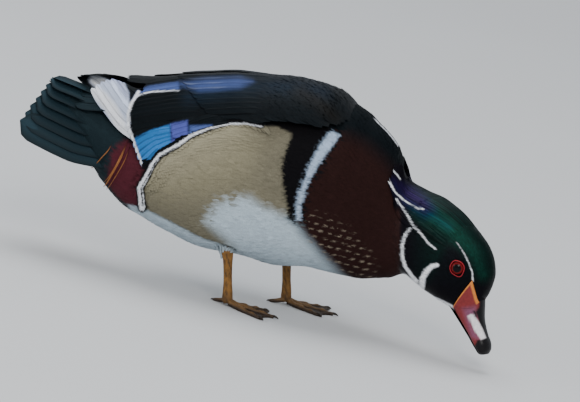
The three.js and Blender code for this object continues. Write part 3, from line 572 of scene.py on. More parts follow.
# Mesh helpers
def mesh_object(name, verts, faces, material, smooth_faces=True):
    mesh = bpy.data.meshes.new(name)
    mesh.from_pydata([tuple(v) for v in verts], [], [tuple(int(i) for i in f) for f in faces])
    mesh.validate()
    mesh.update()
    obj = bpy.data.objects.new(name, mesh)
    bpy.context.scene.collection.objects.link(obj)
    if material is not None:
        mesh.materials.append(material)
    mesh.polygons.foreach_set("use_smooth", [smooth_faces] * len(mesh.polygons))
    return obj


def quad_mesh(name, verts, quads, material):
    """A mesh made fast from arrays of points and four-cornered faces."""
    mesh = bpy.data.meshes.new(name)
    quads = np.asarray(quads, np.int32)
    mesh.vertices.add(len(verts))
    mesh.vertices.foreach_set("co", np.asarray(verts, np.float32).ravel())
    mesh.loops.add(quads.size)
    mesh.loops.foreach_set("vertex_index", quads.ravel())
    mesh.polygons.add(len(quads))
    mesh.polygons.foreach_set("loop_start", np.arange(0, quads.size, 4, dtype=np.int32))
    mesh.update(calc_edges=True)
    mesh.validate()
    mesh.polygons.foreach_set("use_smooth", np.ones(len(mesh.polygons), bool))
    if material is not None:
        mesh.materials.append(material)
    obj = bpy.data.objects.new(name, mesh)
    bpy.context.scene.collection.objects.link(obj)
    return obj


def set_floats(mesh, name, values):
    attribute = mesh.attributes.get(name) or mesh.attributes.new(name, "FLOAT", "POINT")
    attribute.data.foreach_set("value", np.asarray(values, np.float32))


def set_colours(mesh, name, values):
    attribute = mesh.attributes.get(name) or mesh.attributes.new(name, "FLOAT_COLOR", "POINT")
    rgba = np.ones((len(mesh.vertices), 4), np.float32)
    rgba[:, :3] = np.clip(values, 0, 1)
    attribute.data.foreach_set("color", rgba.ravel())


def get_floats(mesh, name):
    values = np.zeros(len(mesh.vertices), np.float32)
    mesh.attributes[name].data.foreach_get("value", values)
    return values


def get_points(mesh):
    values = np.zeros(len(mesh.vertices) * 3, np.float32)
    mesh.vertices.foreach_get("co", values)
    return values.reshape(-1, 3)


def set_bake_map(mesh, uv):
    """The map on which the piece's colours are laid out: one place for each vertex."""
    layer = mesh.uv_layers.get("OFBake") or mesh.uv_layers.new(name="OFBake")
    corner = np.zeros(len(mesh.loops), np.int32)
    mesh.loops.foreach_get("vertex_index", corner)
    layer.data.foreach_set("uv", np.asarray(uv, np.float32)[corner].ravel())


# Materials
def node(tree, kind, **values):
    made = tree.nodes.new(kind)
    for key, value in values.items():
        setattr(made, key, value)
    return made


def link(tree, a, b):
    tree.links.new(a, b)


def new_material(name):
    material = bpy.data.materials.new(name)
    material.use_nodes = True
    tree = material.node_tree
    return material, tree, tree.nodes["Principled BSDF"]


def stored(tree, name):
    """The node that reads one of a mesh's stored values."""
    return node(tree, "ShaderNodeAttribute", attribute_name=name)


def worked(tree, operation, *values):
    """Output of a maths node. Each value is a number or another node's output."""
    made = node(tree, "ShaderNodeMath", operation=operation)
    for socket, value in zip(made.inputs, values):
        if isinstance(value, bpy.types.NodeSocket):
            link(tree, value, socket)
        else:
            socket.default_value = value
    return made.outputs[0]


def scaled(tree, vector, factor):
    """Output of a node that multiplies a colour or a vector by a factor."""
    made = node(tree, "ShaderNodeVectorMath", operation="SCALE")
    link(tree, vector, made.inputs[0])
    link(tree, factor, made.inputs["Scale"])
    return made.outputs["Vector"]


def ranged(tree, value, low, high, start=0, stop=1):
    """Output of a node that turns values from start to stop into values from low to high."""
    made = node(tree, "ShaderNodeMapRange")
    link(tree, value, made.inputs["Value"])
    made.inputs["From Min"].default_value = start
    made.inputs["From Max"].default_value = stop
    made.inputs["To Min"].default_value = low
    made.inputs["To Max"].default_value = high
    return made.outputs["Result"]


def noise(tree, space, scale, detail=2):
    made = node(tree, "ShaderNodeTexNoise")
    made.inputs["Scale"].default_value = scale
    made.inputs["Detail"].default_value = detail
    link(tree, space, made.inputs["Vector"])
    return made.outputs["Fac"]


def relief(tree, shader, height, strength, distance):
    """Bumps on a material's surface."""
    made = node(tree, "ShaderNodeBump")
    made.inputs["Strength"].default_value = strength
    made.inputs["Distance"].default_value = distance
    link(tree, height, made.inputs["Height"])
    link(tree, made.outputs["Normal"], shader.inputs["Normal"])


BARB_SLANT = -0.35
BARB_BUMP = 0.0003
GLOSS_SMOOTHS = 0.36
LINE_TURN = (0, 0.35, 0)
LINE_STRETCH = (0.34, 0.6, 1.0)
LINE_SCALE = 3400
CELL_BUMP = 0.0004
CELL_SCALE = 1.6


def feather_finish(name, barbs, roughness, metal, bump, mottle=0.0, shine=0.25,
                   grain_scale=900):
    """Plumage: painted colour with fine barbs across each vane and, on the flank, wavy lines."""
    material, tree, shader = new_material(name)
    gloss = stored(tree, "gloss").outputs["Fac"]
    side = worked(tree, "ABSOLUTE", stored(tree, "across").outputs["Fac"])
    slant = worked(tree, "MULTIPLY_ADD", side, BARB_SLANT, stored(tree, "along").outputs["Fac"])
    ridge = worked(tree, "SINE", worked(tree, "MULTIPLY", slant, barbs))
    space = node(tree, "ShaderNodeTexCoord").outputs["Object"]
    depth = worked(tree, "MULTIPLY_ADD", ridge, 0.5, noise(tree, space, grain_scale, 3))
    factor = ranged(tree, depth, 0.8, 1.14, -0.1, 1.1)
    if mottle:
        stretch = node(tree, "ShaderNodeMapping")
        stretch.inputs["Rotation"].default_value = LINE_TURN
        stretch.inputs["Scale"].default_value = LINE_STRETCH
        link(tree, space, stretch.inputs["Vector"])
        lines = noise(tree, stretch.outputs["Vector"], LINE_SCALE, 1.5)
        fine = ranged(tree, lines, 1 - mottle, 1 + mottle * 0.5, 0.42, 0.58)
        factor = worked(tree, "MULTIPLY", fine, factor)
    toned = scaled(tree, stored(tree, "tint").outputs["Color"], factor)
    link(tree, toned, shader.inputs["Base Color"])
    rough = ranged(tree, gloss, roughness, max(roughness - GLOSS_SMOOTHS, 0.2))
    link(tree, rough, shader.inputs["Roughness"])
    link(tree, worked(tree, "MULTIPLY", gloss, metal), shader.inputs["Metallic"])
    relief(tree, shader, depth, bump, BARB_BUMP)
    shader.inputs["Specular IOR Level"].default_value = shine
    return material


def horn_finish(name, roughness, grain_scale, bump, spread=0.16, shine=0.25):
    """Painted bill, leg and claw skin with fine grain."""
    material, tree, shader = new_material(name)
    space = node(tree, "ShaderNodeTexCoord").outputs["Object"]
    grain = noise(tree, space, grain_scale, 4)
    shade = ranged(tree, grain, 1 - spread, 1 + spread, 0.3, 0.7)
    toned = scaled(tree, stored(tree, "tint").outputs["Color"], shade)
    link(tree, toned, shader.inputs["Base Color"])
    rough = ranged(tree, grain, roughness - 0.08, roughness + 0.1)
    link(tree, rough, shader.inputs["Roughness"])
    cells = node(tree, "ShaderNodeTexVoronoi")
    cells.inputs["Scale"].default_value = grain_scale * CELL_SCALE
    link(tree, space, cells.inputs["Vector"])
    relief(tree, shader, cells.outputs["Distance"], bump, CELL_BUMP)
    shader.inputs["Specular IOR Level"].default_value = shine
    return material


BODY_FINISH = feather_finish("body_plumage", 40, 0.85, 0.1, 0.2, mottle=0.14, shine=0.06,
                             grain_scale=2600)
HEAD_FINISH = feather_finish("head_plumage", 22, 0.8, 0.5, 0.2, shine=0.12)
WING_FINISH = feather_finish("wing_plumage", 330, 0.8, 0.25, 0.2, shine=0.09)
TAIL_FINISH = feather_finish("tail_plumage", 330, 0.8, 0.2, 0.3, shine=0.08)
SKIN_FINISH = feather_finish("down", 0, 0.85, 0.0, 0.2, shine=0.1)
BILL_FINISH = horn_finish("bill_horn", 0.36, 500, 0.12, 0.14, 0.2)
LEG_FINISH = horn_finish("leg_skin", 0.5, 320, 0.5, 0.3)
CLAW_FINISH = horn_finish("claw_horn", 0.35, 900, 0.1, 0.2)
LID_FINISH = horn_finish("eyelid_skin", 0.45, 1500, 0.5, 0.15)


# The plumage that covers the flesh: roots spread over the surface, one vane grown at each
FEATHER_STATIONS = [(0.0, 0.26, 0.0), (0.4, 0.5, 0.02), (0.8, 0.4, 0.02), (1.0, 0.08, -0.01)]
FEATHER_ARCH = (0.02, 0.12)
FEATHER_WANDER = 0.1
FEATHER_MAP = (0.003, 0.0015)
MAP_EDGE, COAT_MAP, MANTLE_MAP = 0.002, 0.994, 0.996
RIM_ANGLE = math.radians(55)


def feather_form():
    """A small closed vane, one long and one wide, lying along +X with its root at the origin."""
    verts, faces, along, across = [], [], [], []
    for t, half, rise in FEATHER_STATIONS:
        arch = FEATHER_ARCH[0] + FEATHER_ARCH[1] * half * half
        for v, lift in ((-1, 0), (0, arch), (1, 0)):
            verts.append((t, v * half, rise + lift))
            along.append(t)
            across.append(v)
    rows = len(FEATHER_STATIONS)
    for i in range(rows - 1):
        a, b = 3 * i, 3 * (i + 1)
        faces += [(a, b, b + 1, a + 1), (a + 1, b + 1, b + 2, a + 2), (a, a + 2, b + 2, b)]
    faces += [(0, 1, 2), (3 * rows - 3, 3 * rows - 1, 3 * rows - 2)]
    form = mesh_object("feather_form", verts, faces, None)
    set_floats(form.data, "along", along)
    set_floats(form.data, "across", across)
    form.data.set_sharp_from_angle(angle=RIM_ANGLE)
    return form


def plumage_tree():
    """Geometry nodes: a vane on every root, turned and sized by the root's own values."""
    tree = bpy.data.node_groups.new("Plumage", "GeometryNodeTree")
    sockets = {}
    for label, kind in (("Roots", "Geometry"), ("Vane", "Object"), ("Finish", "Material"),
                        ("Wander", "Float"), ("Seed", "Int")):
        sockets[label] = tree.interface.new_socket(
            label, in_out="INPUT", socket_type="NodeSocket" + kind).identifier
    tree.interface.new_socket("Plumage", in_out="OUTPUT", socket_type="NodeSocketGeometry")
    inputs = node(tree, "NodeGroupInput")
    outputs = node(tree, "NodeGroupOutput")
    vane = node(tree, "GeometryNodeObjectInfo", transform_space="ORIGINAL")
    link(tree, inputs.outputs["Vane"], vane.inputs["Object"])
    turn = node(tree, "GeometryNodeInputNamedAttribute", data_type="FLOAT_VECTOR")
    turn.inputs["Name"].default_value = "turn"
    size = node(tree, "GeometryNodeInputNamedAttribute", data_type="FLOAT_VECTOR")
    size.inputs["Name"].default_value = "size"
    chance = node(tree, "FunctionNodeRandomValue", data_type="FLOAT")
    link(tree, inputs.outputs["Seed"], chance.inputs["Seed"])
    link(tree, inputs.outputs["Wander"], chance.inputs[3])
    link(tree, worked(tree, "MULTIPLY", inputs.outputs["Wander"], -1), chance.inputs[2])
    grown = worked(tree, "ADD", chance.outputs[1], 1)
    sized = scaled(tree, size.outputs["Attribute"], grown)
    spread = node(tree, "GeometryNodeInstanceOnPoints")
    link(tree, inputs.outputs["Roots"], spread.inputs["Points"])
    link(tree, vane.outputs["Geometry"], spread.inputs["Instance"])
    link(tree, turn.outputs["Attribute"], spread.inputs["Rotation"])
    link(tree, sized, spread.inputs["Scale"])
    real = node(tree, "GeometryNodeRealizeInstances")
    link(tree, spread.outputs["Instances"], real.inputs["Geometry"])
    finish = node(tree, "GeometryNodeSetMaterial")
    link(tree, real.outputs["Geometry"], finish.inputs["Geometry"])
    link(tree, inputs.outputs["Finish"], finish.inputs["Material"])
    link(tree, finish.outputs["Geometry"], outputs.inputs["Plumage"])
    return tree, sockets


PLUMAGE, PLUMAGE_SOCKETS = plumage_tree()
FEATHER = feather_form()


def grow(name, roots, turns, sizes, tones, bake_uv, finish, seed):
    """One coat piece: the plumage tree run on roots, and its result kept as a plain mesh."""
    points = bpy.data.meshes.new(name + "_roots")
    points.vertices.add(len(roots))
    points.vertices.foreach_set("co", np.asarray(roots, np.float32).ravel())
    for label, values in (("turn", turns), ("size", sizes)):
        attribute = points.attributes.new(label, "FLOAT_VECTOR", "POINT")
        attribute.data.foreach_set("vector", np.asarray(values, np.float32).ravel())
    for label, values in (("tone", tones), ("root_u", bake_uv[:, 0]), ("root_v", bake_uv[:, 1])):
        attribute = points.attributes.new(label, "FLOAT", "POINT")
        attribute.data.foreach_set("value", np.asarray(values, np.float32))
    holder = bpy.data.objects.new(name + "_roots", points)
    bpy.context.scene.collection.objects.link(holder)
    modifier = holder.modifiers.new("plumage", "NODES")
    modifier.node_group = PLUMAGE
    modifier[PLUMAGE_SOCKETS["Vane"]] = FEATHER
    modifier[PLUMAGE_SOCKETS["Finish"]] = finish
    modifier[PLUMAGE_SOCKETS["Wander"]] = FEATHER_WANDER
    modifier[PLUMAGE_SOCKETS["Seed"]] = seed
    graph = bpy.context.evaluated_depsgraph_get()
    mesh = bpy.data.meshes.new_from_object(holder.evaluated_get(graph))
    holder.modifiers.remove(modifier)
    bpy.data.objects.remove(holder)
    mesh.name = name
    obj = bpy.data.objects.new(name, mesh)
    bpy.context.scene.collection.objects.link(obj)
    mesh.polygons.foreach_set("use_smooth", np.ones(len(mesh.polygons), bool))
    u = get_floats(mesh, "root_u") + (get_floats(mesh, "along") - 0.5) * FEATHER_MAP[0]
    v = get_floats(mesh, "root_v") + get_floats(mesh, "across") * FEATHER_MAP[1]
    spot = np.stack([u, v], -1)
    set_bake_map(mesh, np.clip(spot, 0, 1))
    return obj


def dress(obj, painter, *more):
    """Paints a coat piece. A painter takes points, tones and perhaps more values of the mesh."""
    mesh = obj.data
    colour, gloss = painter(unplace(get_points(mesh)), get_floats(mesh, "tone"), *more)
    set_colours(mesh, "tint", colour)
    set_floats(mesh, "gloss", gloss)
    return obj


# Spacing, length and width of the body's feathers along the bird, in millimetres
COAT_STEPS = np.array([
    # ring, spacing, length, width
    [0, 2.6, 13, 4.4],
    [5, 2.3, 11, 3.4],
    [8, 2.1, 10, 3.0],
    [12, 1.9, 7.8, 2.5],
    [14, 1.6, 6.6, 2.1],
    [17, 1.35, 5.4, 1.75],
    [19, 1.2, 4.5, 1.5],
    [21, 1.05, 3.7, 1.25],
    [24, 0.92, 3.0, 1.05],
    [26, 0.82, 2.6, 0.9],
    [29.2, 0.75, 1.8, 0.78],
])


COAT_THICKNESS = 0.2


def coat_value(u, column):
    """One of these columns at positions along the bird."""
    return np.interp(u, COAT_STEPS[:, 0], COAT_STEPS[:, column])


# How far the skin lies under the outline of the plumage, in millimetres, at some sections
DEPTH_RINGS = [0, 5, 12, 17, 20, 25, 29]
DEPTHS = [1.5, 1.5, 1.5, 1.2, 0.9, 0.6, 0.4]


def coat_depth(u):
    return np.interp(u, DEPTH_RINGS, DEPTHS)


# The flank's fold over the wing, and the skin's place under the coat's roots, in millimetres
FLANK_SWELL = 5.0
SKIN_UNDER = 0.1

# The fold fades out between these distances from the flank's upper edge, in pixels
SWELL_REACH = (30, 3)

# Steps in which the rows of roots advance: part of a section, and least length in millimetres
RING_STEP = 0.1
LEAST_STEP = 0.05

# Shoulder feathers: spacing, length of a wing section and size in millimetres, the sections
# that they cover, and the sections over which they sink under the breast's coat
MANTLE_SPACING = 2.6
MANTLE_SECTION = 30
MANTLE_FEATHER = (15, 5.2, 1.9)
MANTLE_SPAN = (2.0, 10)
MANTLE_FRONT = (8.6, 9.8)
MANTLE_DEPTH, MANTLE_SINKS = 0.9, 2.6

# Outline of the bare lobe in the middle plane, as x z
FACE_LOBE = np.array([(128.5, 44), (134.5, 55), (142.6, 73), (148, 66), (152, 57),
                      (152, 40), (135, 30)])


def coat_roots(start, end):
    """Roots in rows from start to end, staggered and shifted a little."""
    rings, angles = [], []
    u = start
    row = 0
    while u < end:
        spacing = coat_value(u, 1)
        ring = section(FLESH, u)
        high = math.hypot(ring[0] - ring[2], ring[1] - ring[3]) / 2
        wide = ring[4]
        bulge = math.sqrt((3 * high + wide) * (high + 3 * wide))
        girth = math.pi * (3 * (high + wide) - bulge)
        count = max(int(girth / spacing), 6)
        place_in_row = np.arange(count) + 0.5 * (row % 2) + RNG.uniform(-0.3, 0.3, count)
        rings.append(u + RNG.uniform(-0.02, 0.02, count))
        angles.append(2 * math.pi * place_in_row / count)
        ahead = section(FLESH, min(u + RING_STEP, FACE_END))
        step = (math.hypot(*(ahead[:2] - ring[:2])) + math.hypot(*(ahead[2:4] - ring[2:4]))) / 2
        u += RING_STEP * spacing / max(step, LEAST_STEP)
        row += 1
    return np.concatenate(rings), np.concatenate(angles)


def euler_of(x_axis, z_axis):
    """Euler angles that turn +X to x_axis and +Z near z_axis, for many at once."""
    x = unit(x_axis)
    y = unit(np.cross(z_axis, x))
    z = np.cross(x, y)
    pitch = np.arcsin(np.clip(-x[:, 2], -1, 1))
    roll = np.arctan2(y[:, 2], z[:, 2])
    yaw = np.arctan2(x[:, 1], x[:, 0])
    return np.stack([roll, pitch, yaw], -1)


def fold_share(along):
    """How much of the flank's fold there is at a share of its upper edge: less at both ends."""
    return smooth(0, 0.15, along) * (1 - 0.25 * smooth(0.85, 1, along))


def flank_swell(px):
    """How far the flank's feathers stand out where they fold over the wing."""
    near, _, along = edge_distance(px, FLANK_TOP, False)
    return FLANK_SWELL * smooth(*SWELL_REACH, near) * fold_share(along) * in_outline(px, FLANK)


def coat(name, start, end, finish, painter, seed, lift=0.035):
    """The small feathers between two sections of the bird."""
    u, phi = coat_roots(start, end)
    outline = on_surface(FLESH, u, phi)
    swell = 0
    free = np.ones(len(u), bool)
    if end < TRUNK_END:
        seen = picture_place(outline)
        free &= ~in_outline(seen, UNDER_WING)
        swell = flank_swell(seen)
    if end > HEAD_START:
        side = outline[:, [0, 2]]
        free &= np.hypot(side[:, 0] - EYE_PLACE[0], side[:, 1] - EYE_PLACE[1]) > BARE_RADIUS
        free &= ~in_outline(side, FACE_LOBE)
    root = on_surface(FLESH, u, phi, swell - coat_depth(u))
    u, phi, root = u[free], phi[free], root[free]
    forward, normal = surface_frame(FLESH, u, phi)
    back = -forward
    swirl = np.cross(normal, back)
    back = back + swirl * RNG.normal(0, 0.06, (len(u), 1))
    rise = lift + RNG.uniform(-0.02, 0.03, (len(u), 1))
    lie = back + normal * rise
    length, width = coat_value(u, 2), coat_value(u, 3)
    base = place(root)
    turns = euler_of(place(root + lie) - base, place(root + normal) - base)
    sizes = np.stack([length, width, length * COAT_THICKNESS], -1) * MM
    sizes *= RNG.uniform(0.88, 1.12, (len(u), 1))
    tones = RNG.normal(0, 1, len(u))
    turn = np.mod(phi / (2 * math.pi), 1)
    uv = MAP_EDGE + np.stack([u / SECTION_SPAN, turn], -1) * COAT_MAP
    return dress(grow(name, base, turns, sizes, tones, uv, finish, seed), painter)


def skin():
    """One closed skin under all the plumage, from tail root to face."""
    rings, around = 300, 120
    u = np.linspace(0, FACE_END, rings)
    phi = np.linspace(0, 2 * math.pi, around, endpoint=False)
    grid_u, grid_phi = np.meshgrid(u, phi, indexing="ij")
    depth = coat_depth(grid_u) + SKIN_UNDER
    points = on_surface(FLESH, grid_u, grid_phi, -depth).reshape(-1, 3)
    i, j = np.meshgrid(np.arange(rings - 1), np.arange(around), indexing="ij")
    a = (i * around + j).ravel()
    b = (i * around + (j + 1) % around).ravel()
    quads = np.stack([a, a + around, b + around, b], -1)
    obj = quad_mesh("skin", place(points), quads, SKIN_FINISH)
    mesh = obj.data
    for ring in (0, rings - 1):
        corners = [ring * around + k for k in range(around)]
        if ring:
            corners = corners[::-1]
        face_outward(mesh, corners)
    p = unplace(get_points(mesh))
    tone = np.zeros(len(p))
    body = body_paint(p, tone)[0]
    head = head_paint(p, tone)[0]
    is_head = (np.repeat(u, around) > SKIN_HEAD_START)[:, None]
    # Painted shade: the skin takes the colours of the plumage over it, a fifth darker, as the
    # shaded depth between feathers
    set_colours(mesh, "tint", np.where(is_head, head, body) * 0.8)
    for label in ("gloss", "along", "across"):
        set_floats(mesh, label, np.zeros(len(p)))
    uv = np.stack([grid_u.ravel() / SECTION_SPAN, grid_phi.ravel() / (2 * math.pi)], -1)
    set_bake_map(mesh, uv)
    return obj


def face_outward(mesh, ring=()):
    """Turns every face outward, after closing a ring of vertices with one face if one is given."""
    work = bmesh.new()
    work.from_mesh(mesh)
    if ring:
        work.verts.ensure_lookup_table()
        work.faces.new([work.verts[k] for k in ring])
    bmesh.ops.recalc_face_normals(work, faces=work.faces)
    work.to_mesh(mesh)
    work.free()


SEEN_RINGS, SEEN_ANGLES = 500, 260
LEAST_FACING = -0.05


def seen_grid(rows):
    """A fine grid of a surface's right side, with the pixel at which each point is seen."""
    u, phi = np.meshgrid(np.linspace(0, len(rows) - 1, SEEN_RINGS),
                         np.linspace(0, math.pi, SEEN_ANGLES), indexing="ij")
    _, normal = surface_frame(rows, u, phi)
    facing = (normal @ CAMERA_BACK > LEAST_FACING).ravel()
    px = picture_place(on_surface(rows, u, phi)).reshape(-1, 2)
    return u.ravel()[facing], phi.ravel()[facing], px[facing]


def seen_at(grid, pixels):
    """Surface position of each pixel."""
    u, phi, px = grid
    hits = [int(np.argmin(((px - q) ** 2).sum(-1))) for q in np.asarray(pixels, float)]
    return u[hits], phi[hits]


def mantle_coat(name, seed):
    """The smooth black feathers of shoulder and back that cover the front of a folded wing."""
    side = SIDES[name]
    all_u, all_phi = [], []
    row = 0
    u, last = MANTLE_SPAN
    while u < last:
        ring = section(MANTLE, u)
        step = MANTLE_SPACING / ((ring[1] - ring[3]) / 2)
        phi = np.arange(0.01, 1.6, step) + 0.5 * step * (row % 2)
        all_u.append(u + RNG.uniform(-0.02, 0.02, len(phi)))
        all_phi.append(phi + RNG.uniform(-0.3, 0.3, len(phi)) * step)
        row += 1
        u += MANTLE_SPACING / MANTLE_SECTION
    u, phi = np.concatenate(all_u), np.abs(np.concatenate(all_phi))
    inside = in_outline(picture_place(on_surface(MANTLE, u, phi)), MANTLE_AREA)
    u, phi = u[inside], phi[inside]
    forward, normal = surface_frame(MANTLE, u, phi, side)
    front = smooth(*MANTLE_FRONT, u)
    root = on_surface(MANTLE, u, phi, -MANTLE_DEPTH - MANTLE_SINKS * front, side)
    swirl = np.cross(normal, -forward)
    lie = -forward + swirl * RNG.normal(0, 0.05, (len(u), 1))
    lie = lie + normal * RNG.uniform(0.018, 0.034, (len(u), 1))
    base = place(root)
    turns = euler_of(place(root + lie) - base, place(root + normal) - base)
    size = np.array(MANTLE_FEATHER) * MM * (1 - 0.3 * front)[:, None]
    sizes = size * RNG.uniform(0.9, 1.1, (len(u), 1))
    uv = MAP_EDGE + np.stack([u / last, phi / math.pi], -1) * MANTLE_MAP
    obj = grow("shoulder_feathers_" + name, base, turns, sizes, RNG.normal(0, 1, len(u)), uv,
               WING_FINISH, seed)
    return dress(obj, wing_paint, get_floats(obj.data, "along"),
                 get_floats(obj.data, "across") * 0.7)


# Larger vanes: wings, tail and crest. A vane's root widens over the first part of its length,
# its tip narrows to a small share of its width, and its edges are thinner than its middle
ROOT_WIDENS = 0.35
TIP_WIDTH = 0.05
EDGE_THINS = 0.55
SHAFT_WIDTH, SHAFT_HEIGHT = 0.09, 0.35
RIPPLE_HEIGHT = 0.08


def vane_grid(centres, normals, width, tip=0.7, thick=0.5, camber=0.14, columns=7, root=0.5):
    """Points and faces of one closed vane along centres, with a raised shaft."""
    rows = len(centres)
    t = np.linspace(0, 1, rows)
    along = unit(np.gradient(centres, axis=0))
    across = unit(np.cross(normals, along))
    end = np.where(t > tip, np.sqrt(np.maximum(1 - ((t - tip) / (1 - tip)) ** 2, 0)), 1)
    widening = root + (1 - root) * np.minimum(t / ROOT_WIDENS, 1)
    half = width * widening * np.maximum(end, TIP_WIDTH)
    v = np.linspace(-1, 1, columns)
    shaft = np.exp(-(v / SHAFT_WIDTH) ** 2) * SHAFT_HEIGHT
    ripple = RIPPLE_HEIGHT * np.sin(t[:, None] * 23 + np.abs(v)[None] * 5 + width)
    layers, alongs, acrosses = [], [], []
    for face in (1, -1):
        lift = face * thick / 2 * (1 - EDGE_THINS * np.abs(v)) + (shaft if face > 0 else 0)
        drop = camber * np.abs(v)[None] ** 1.5 * half[:, None]
        p = (centres[:, None] + across[:, None] * (v[None] * half[:, None])[..., None]
             + normals[:, None] * (lift[None] - drop + ripple)[..., None])
        layers.append(p.reshape(-1, 3))
        alongs.append(np.repeat(t, columns))
        acrosses.append(np.tile(v, rows))
    points = np.vstack(layers)
    other = rows * columns
    faces = []
    for i in range(rows - 1):
        for j in range(columns - 1):
            a = i * columns + j
            faces.append((a, a + 1, a + columns + 1, a + columns))
            b = a + other
            faces.append((b, b + columns, b + columns + 1, b + 1))
        for j, flip in ((0, False), (columns - 1, True)):
            a = i * columns + j
            quad = (a, a + columns, a + columns + other, a + other)
            faces.append(quad[::-1] if flip else quad)
    for i, flip in ((0, True), (rows - 1, False)):
        for j in range(columns - 1):
            a = i * columns + j
            quad = (a, a + 1, a + 1 + other, a + other)
            faces.append(quad if not flip else quad[::-1])
    return points, np.array(faces), np.concatenate(alongs), np.concatenate(acrosses)


# Each vane has its own cell on the map of its piece, in rows of ten
MAP_CELLS = 10
CELL_EDGE, CELL_MAP = 0.005, 0.09


class VaneBatch:
    """Many large vanes joined into one piece."""

    def __init__(self):
        self.points, self.faces, self.along, self.across, self.tone = [], [], [], [], []
        self.uv, self.count = [], 0

    def add(self, made):
        """Adds a vane that vane_grid() made."""
        points, faces, along, across = made
        self.points.append(points)
        self.faces.append(faces + self.count)
        self.count += len(points)
        self.along.append(along)
        self.across.append(across)
        self.tone.append(np.full(len(points), RNG.normal()))
        cell = len(self.points) - 1
        corner = np.array([(cell % MAP_CELLS) / MAP_CELLS, (cell // MAP_CELLS) / MAP_CELLS])
        in_cell = np.stack([along, across / 2 + 0.5], -1)
        self.uv.append(corner + CELL_EDGE + in_cell * CELL_MAP)

    def piece(self, name, finish, painter):
        """The finished piece, coloured by painter."""
        p = np.vstack(self.points)
        obj = quad_mesh(name, place(p), np.vstack(self.faces), finish)
        along, across = np.concatenate(self.along), np.concatenate(self.across)
        colour, gloss = painter(p, np.concatenate(self.tone), along, across)
        mesh = obj.data
        set_colours(mesh, "tint", colour)
        set_floats(mesh, "gloss", gloss)
        set_floats(mesh, "along", along)
        set_floats(mesh, "across", across)
        set_bake_map(mesh, np.clip(np.vstack(self.uv), 0, 1))
        face_outward(mesh)
        mesh.set_sharp_from_angle(angle=RIM_ANGLE)
        return obj


def raised_path(rows, u, phi, off, side):
    """A line that lies off a surface, with the surface's outward way at each of its points."""
    centres = on_surface(rows, u, phi, off, side)
    return centres, unit(on_surface(rows, u, phi, off + 1, side) - centres)


def seen_path(grid, rows, root, tip, bow, steps, lift, side):
    """Centre line and normals on a surface from root to tip pixel, bowed sideways by bow."""
    root, tip = np.asarray(root, float), np.asarray(tip, float)
    t = np.linspace(0, 1, 7)
    way = tip - root
    bend = np.array([-way[1], way[0]]) / np.hypot(*way) * bow
    places = root + way * t[:, None] + bend * np.sin(math.pi * t)[:, None]
    u, phi = seen_at(grid, places)
    fit = np.linspace(0, 1, steps)
    u = np.polyval(np.polyfit(t, u, 3), fit)
    phi = np.polyval(np.polyfit(t, phi, 3), fit)
    off = np.interp(fit, (0, 0.5, 1), lift)
    return raised_path(rows, u, phi, off, side)


FLESH_SEEN = seen_grid(FLESH)
MANTLE_SEEN = seen_grid(MANTLE)

# Rows of wing feathers, lowest row first. Each row: count, first and last feather as
# root pixel, tip pixel, half width in mm; sideways bow in pixels; lift above the wing's
# envelope at root, middle and tip in mm; where the tip starts to round off
WING_ROWS = [
    (8, ((146, 150), (91, 88), 4.2), ((160, 100), (127, 86), 4.6), -3, (-3.4, -1.6, -1.2), 0.72),
    (9, ((176, 146), (146, 180), 4.0), ((192, 122), (127, 127), 4.6), 4, (-3, -0.7, -0.5), 0.86),
    (3, ((212, 128), (172, 136), 3.2), ((214, 120), (170, 127), 4.0), 2, (-2.6, 0.0, 0.3), 0.85),
    (3, ((236, 120), (189, 130), 3.0), ((238, 114), (190, 125), 3.4), 2, (-2.6, 0.1, 0.5), 0.85),
    (9, ((232, 112), (129, 120), 6.0), ((242, 77), (146, 85), 6.0), 3, (-2.6, 0.3, 0.4), 0.86),
    (8, ((292, 110), (204, 111), 5.0), ((296, 78), (178, 78), 7.0), 2, (-2.6, 0.5, 0.9), 0.8),
]
WING_END_ARC = 9
FAR_WING_REACH = 19.0
FAR_WING_RISE = 7
TILT_OF_ROW = np.array([0, 0.5, 0.5])


def wing(name):
    """The long feathers of a folded wing."""
    side = SIDES[name]
    batch = VaneBatch()
    for row, (count, first, last, bow, lift, tip) in enumerate(WING_ROWS):
        for i in range(count):
            t = i / (count - 1)
            root, end, width = [np.array(a, float) * (1 - t) + np.array(b, float) * t
                                for a, b in zip(first, last)]
            if row == 0:
                end[1] -= math.sin(math.pi * t) * WING_END_ARC
                if name == "left":
                    end -= np.array([FAR_WING_REACH, FAR_WING_RISE * (1 - t)])
            end = end + RNG.uniform(-0.5, 0.5, 2)
            raised = tuple(np.array(lift) + TILT_OF_ROW * t)
            centres, normals = seen_path(MANTLE_SEEN, MANTLE, root, end, bow, 44, raised, side)
            batch.add(vane_grid(centres, normals, float(width), tip=tip, thick=0.45, columns=13))
    return batch.piece("wing_feathers_" + name, WING_FINISH, wing_paint)


def flank_fringe_paint(p, tone, along, across):
    colour, gloss = body_paint(p, tone, True)
    colour = lay(colour, INK, smooth(0.75, 0.95, np.abs(across)) * 0.45)
    return colour, gloss


def line_point(line, share):
    """Point and direction at a share of a polyline's length."""
    pts = np.asarray(line, float)
    lengths = np.hypot(*np.diff(pts, axis=0).T)
    reach = np.concatenate([[0], np.cumsum(lengths)]) / lengths.sum()
    here, ahead, back = [np.array([np.interp(at, reach, pts[:, k]) for k in (0, 1)])
                         for at in (share, min(share + 0.02, 1), max(share - 0.02, 0))]
    return here, (ahead - back) / np.hypot(*(ahead - back))


FRINGE_COUNT = 44
FRINGE_ROOT = (9, 7)
FRINGE_TIP = (5, 2.6)


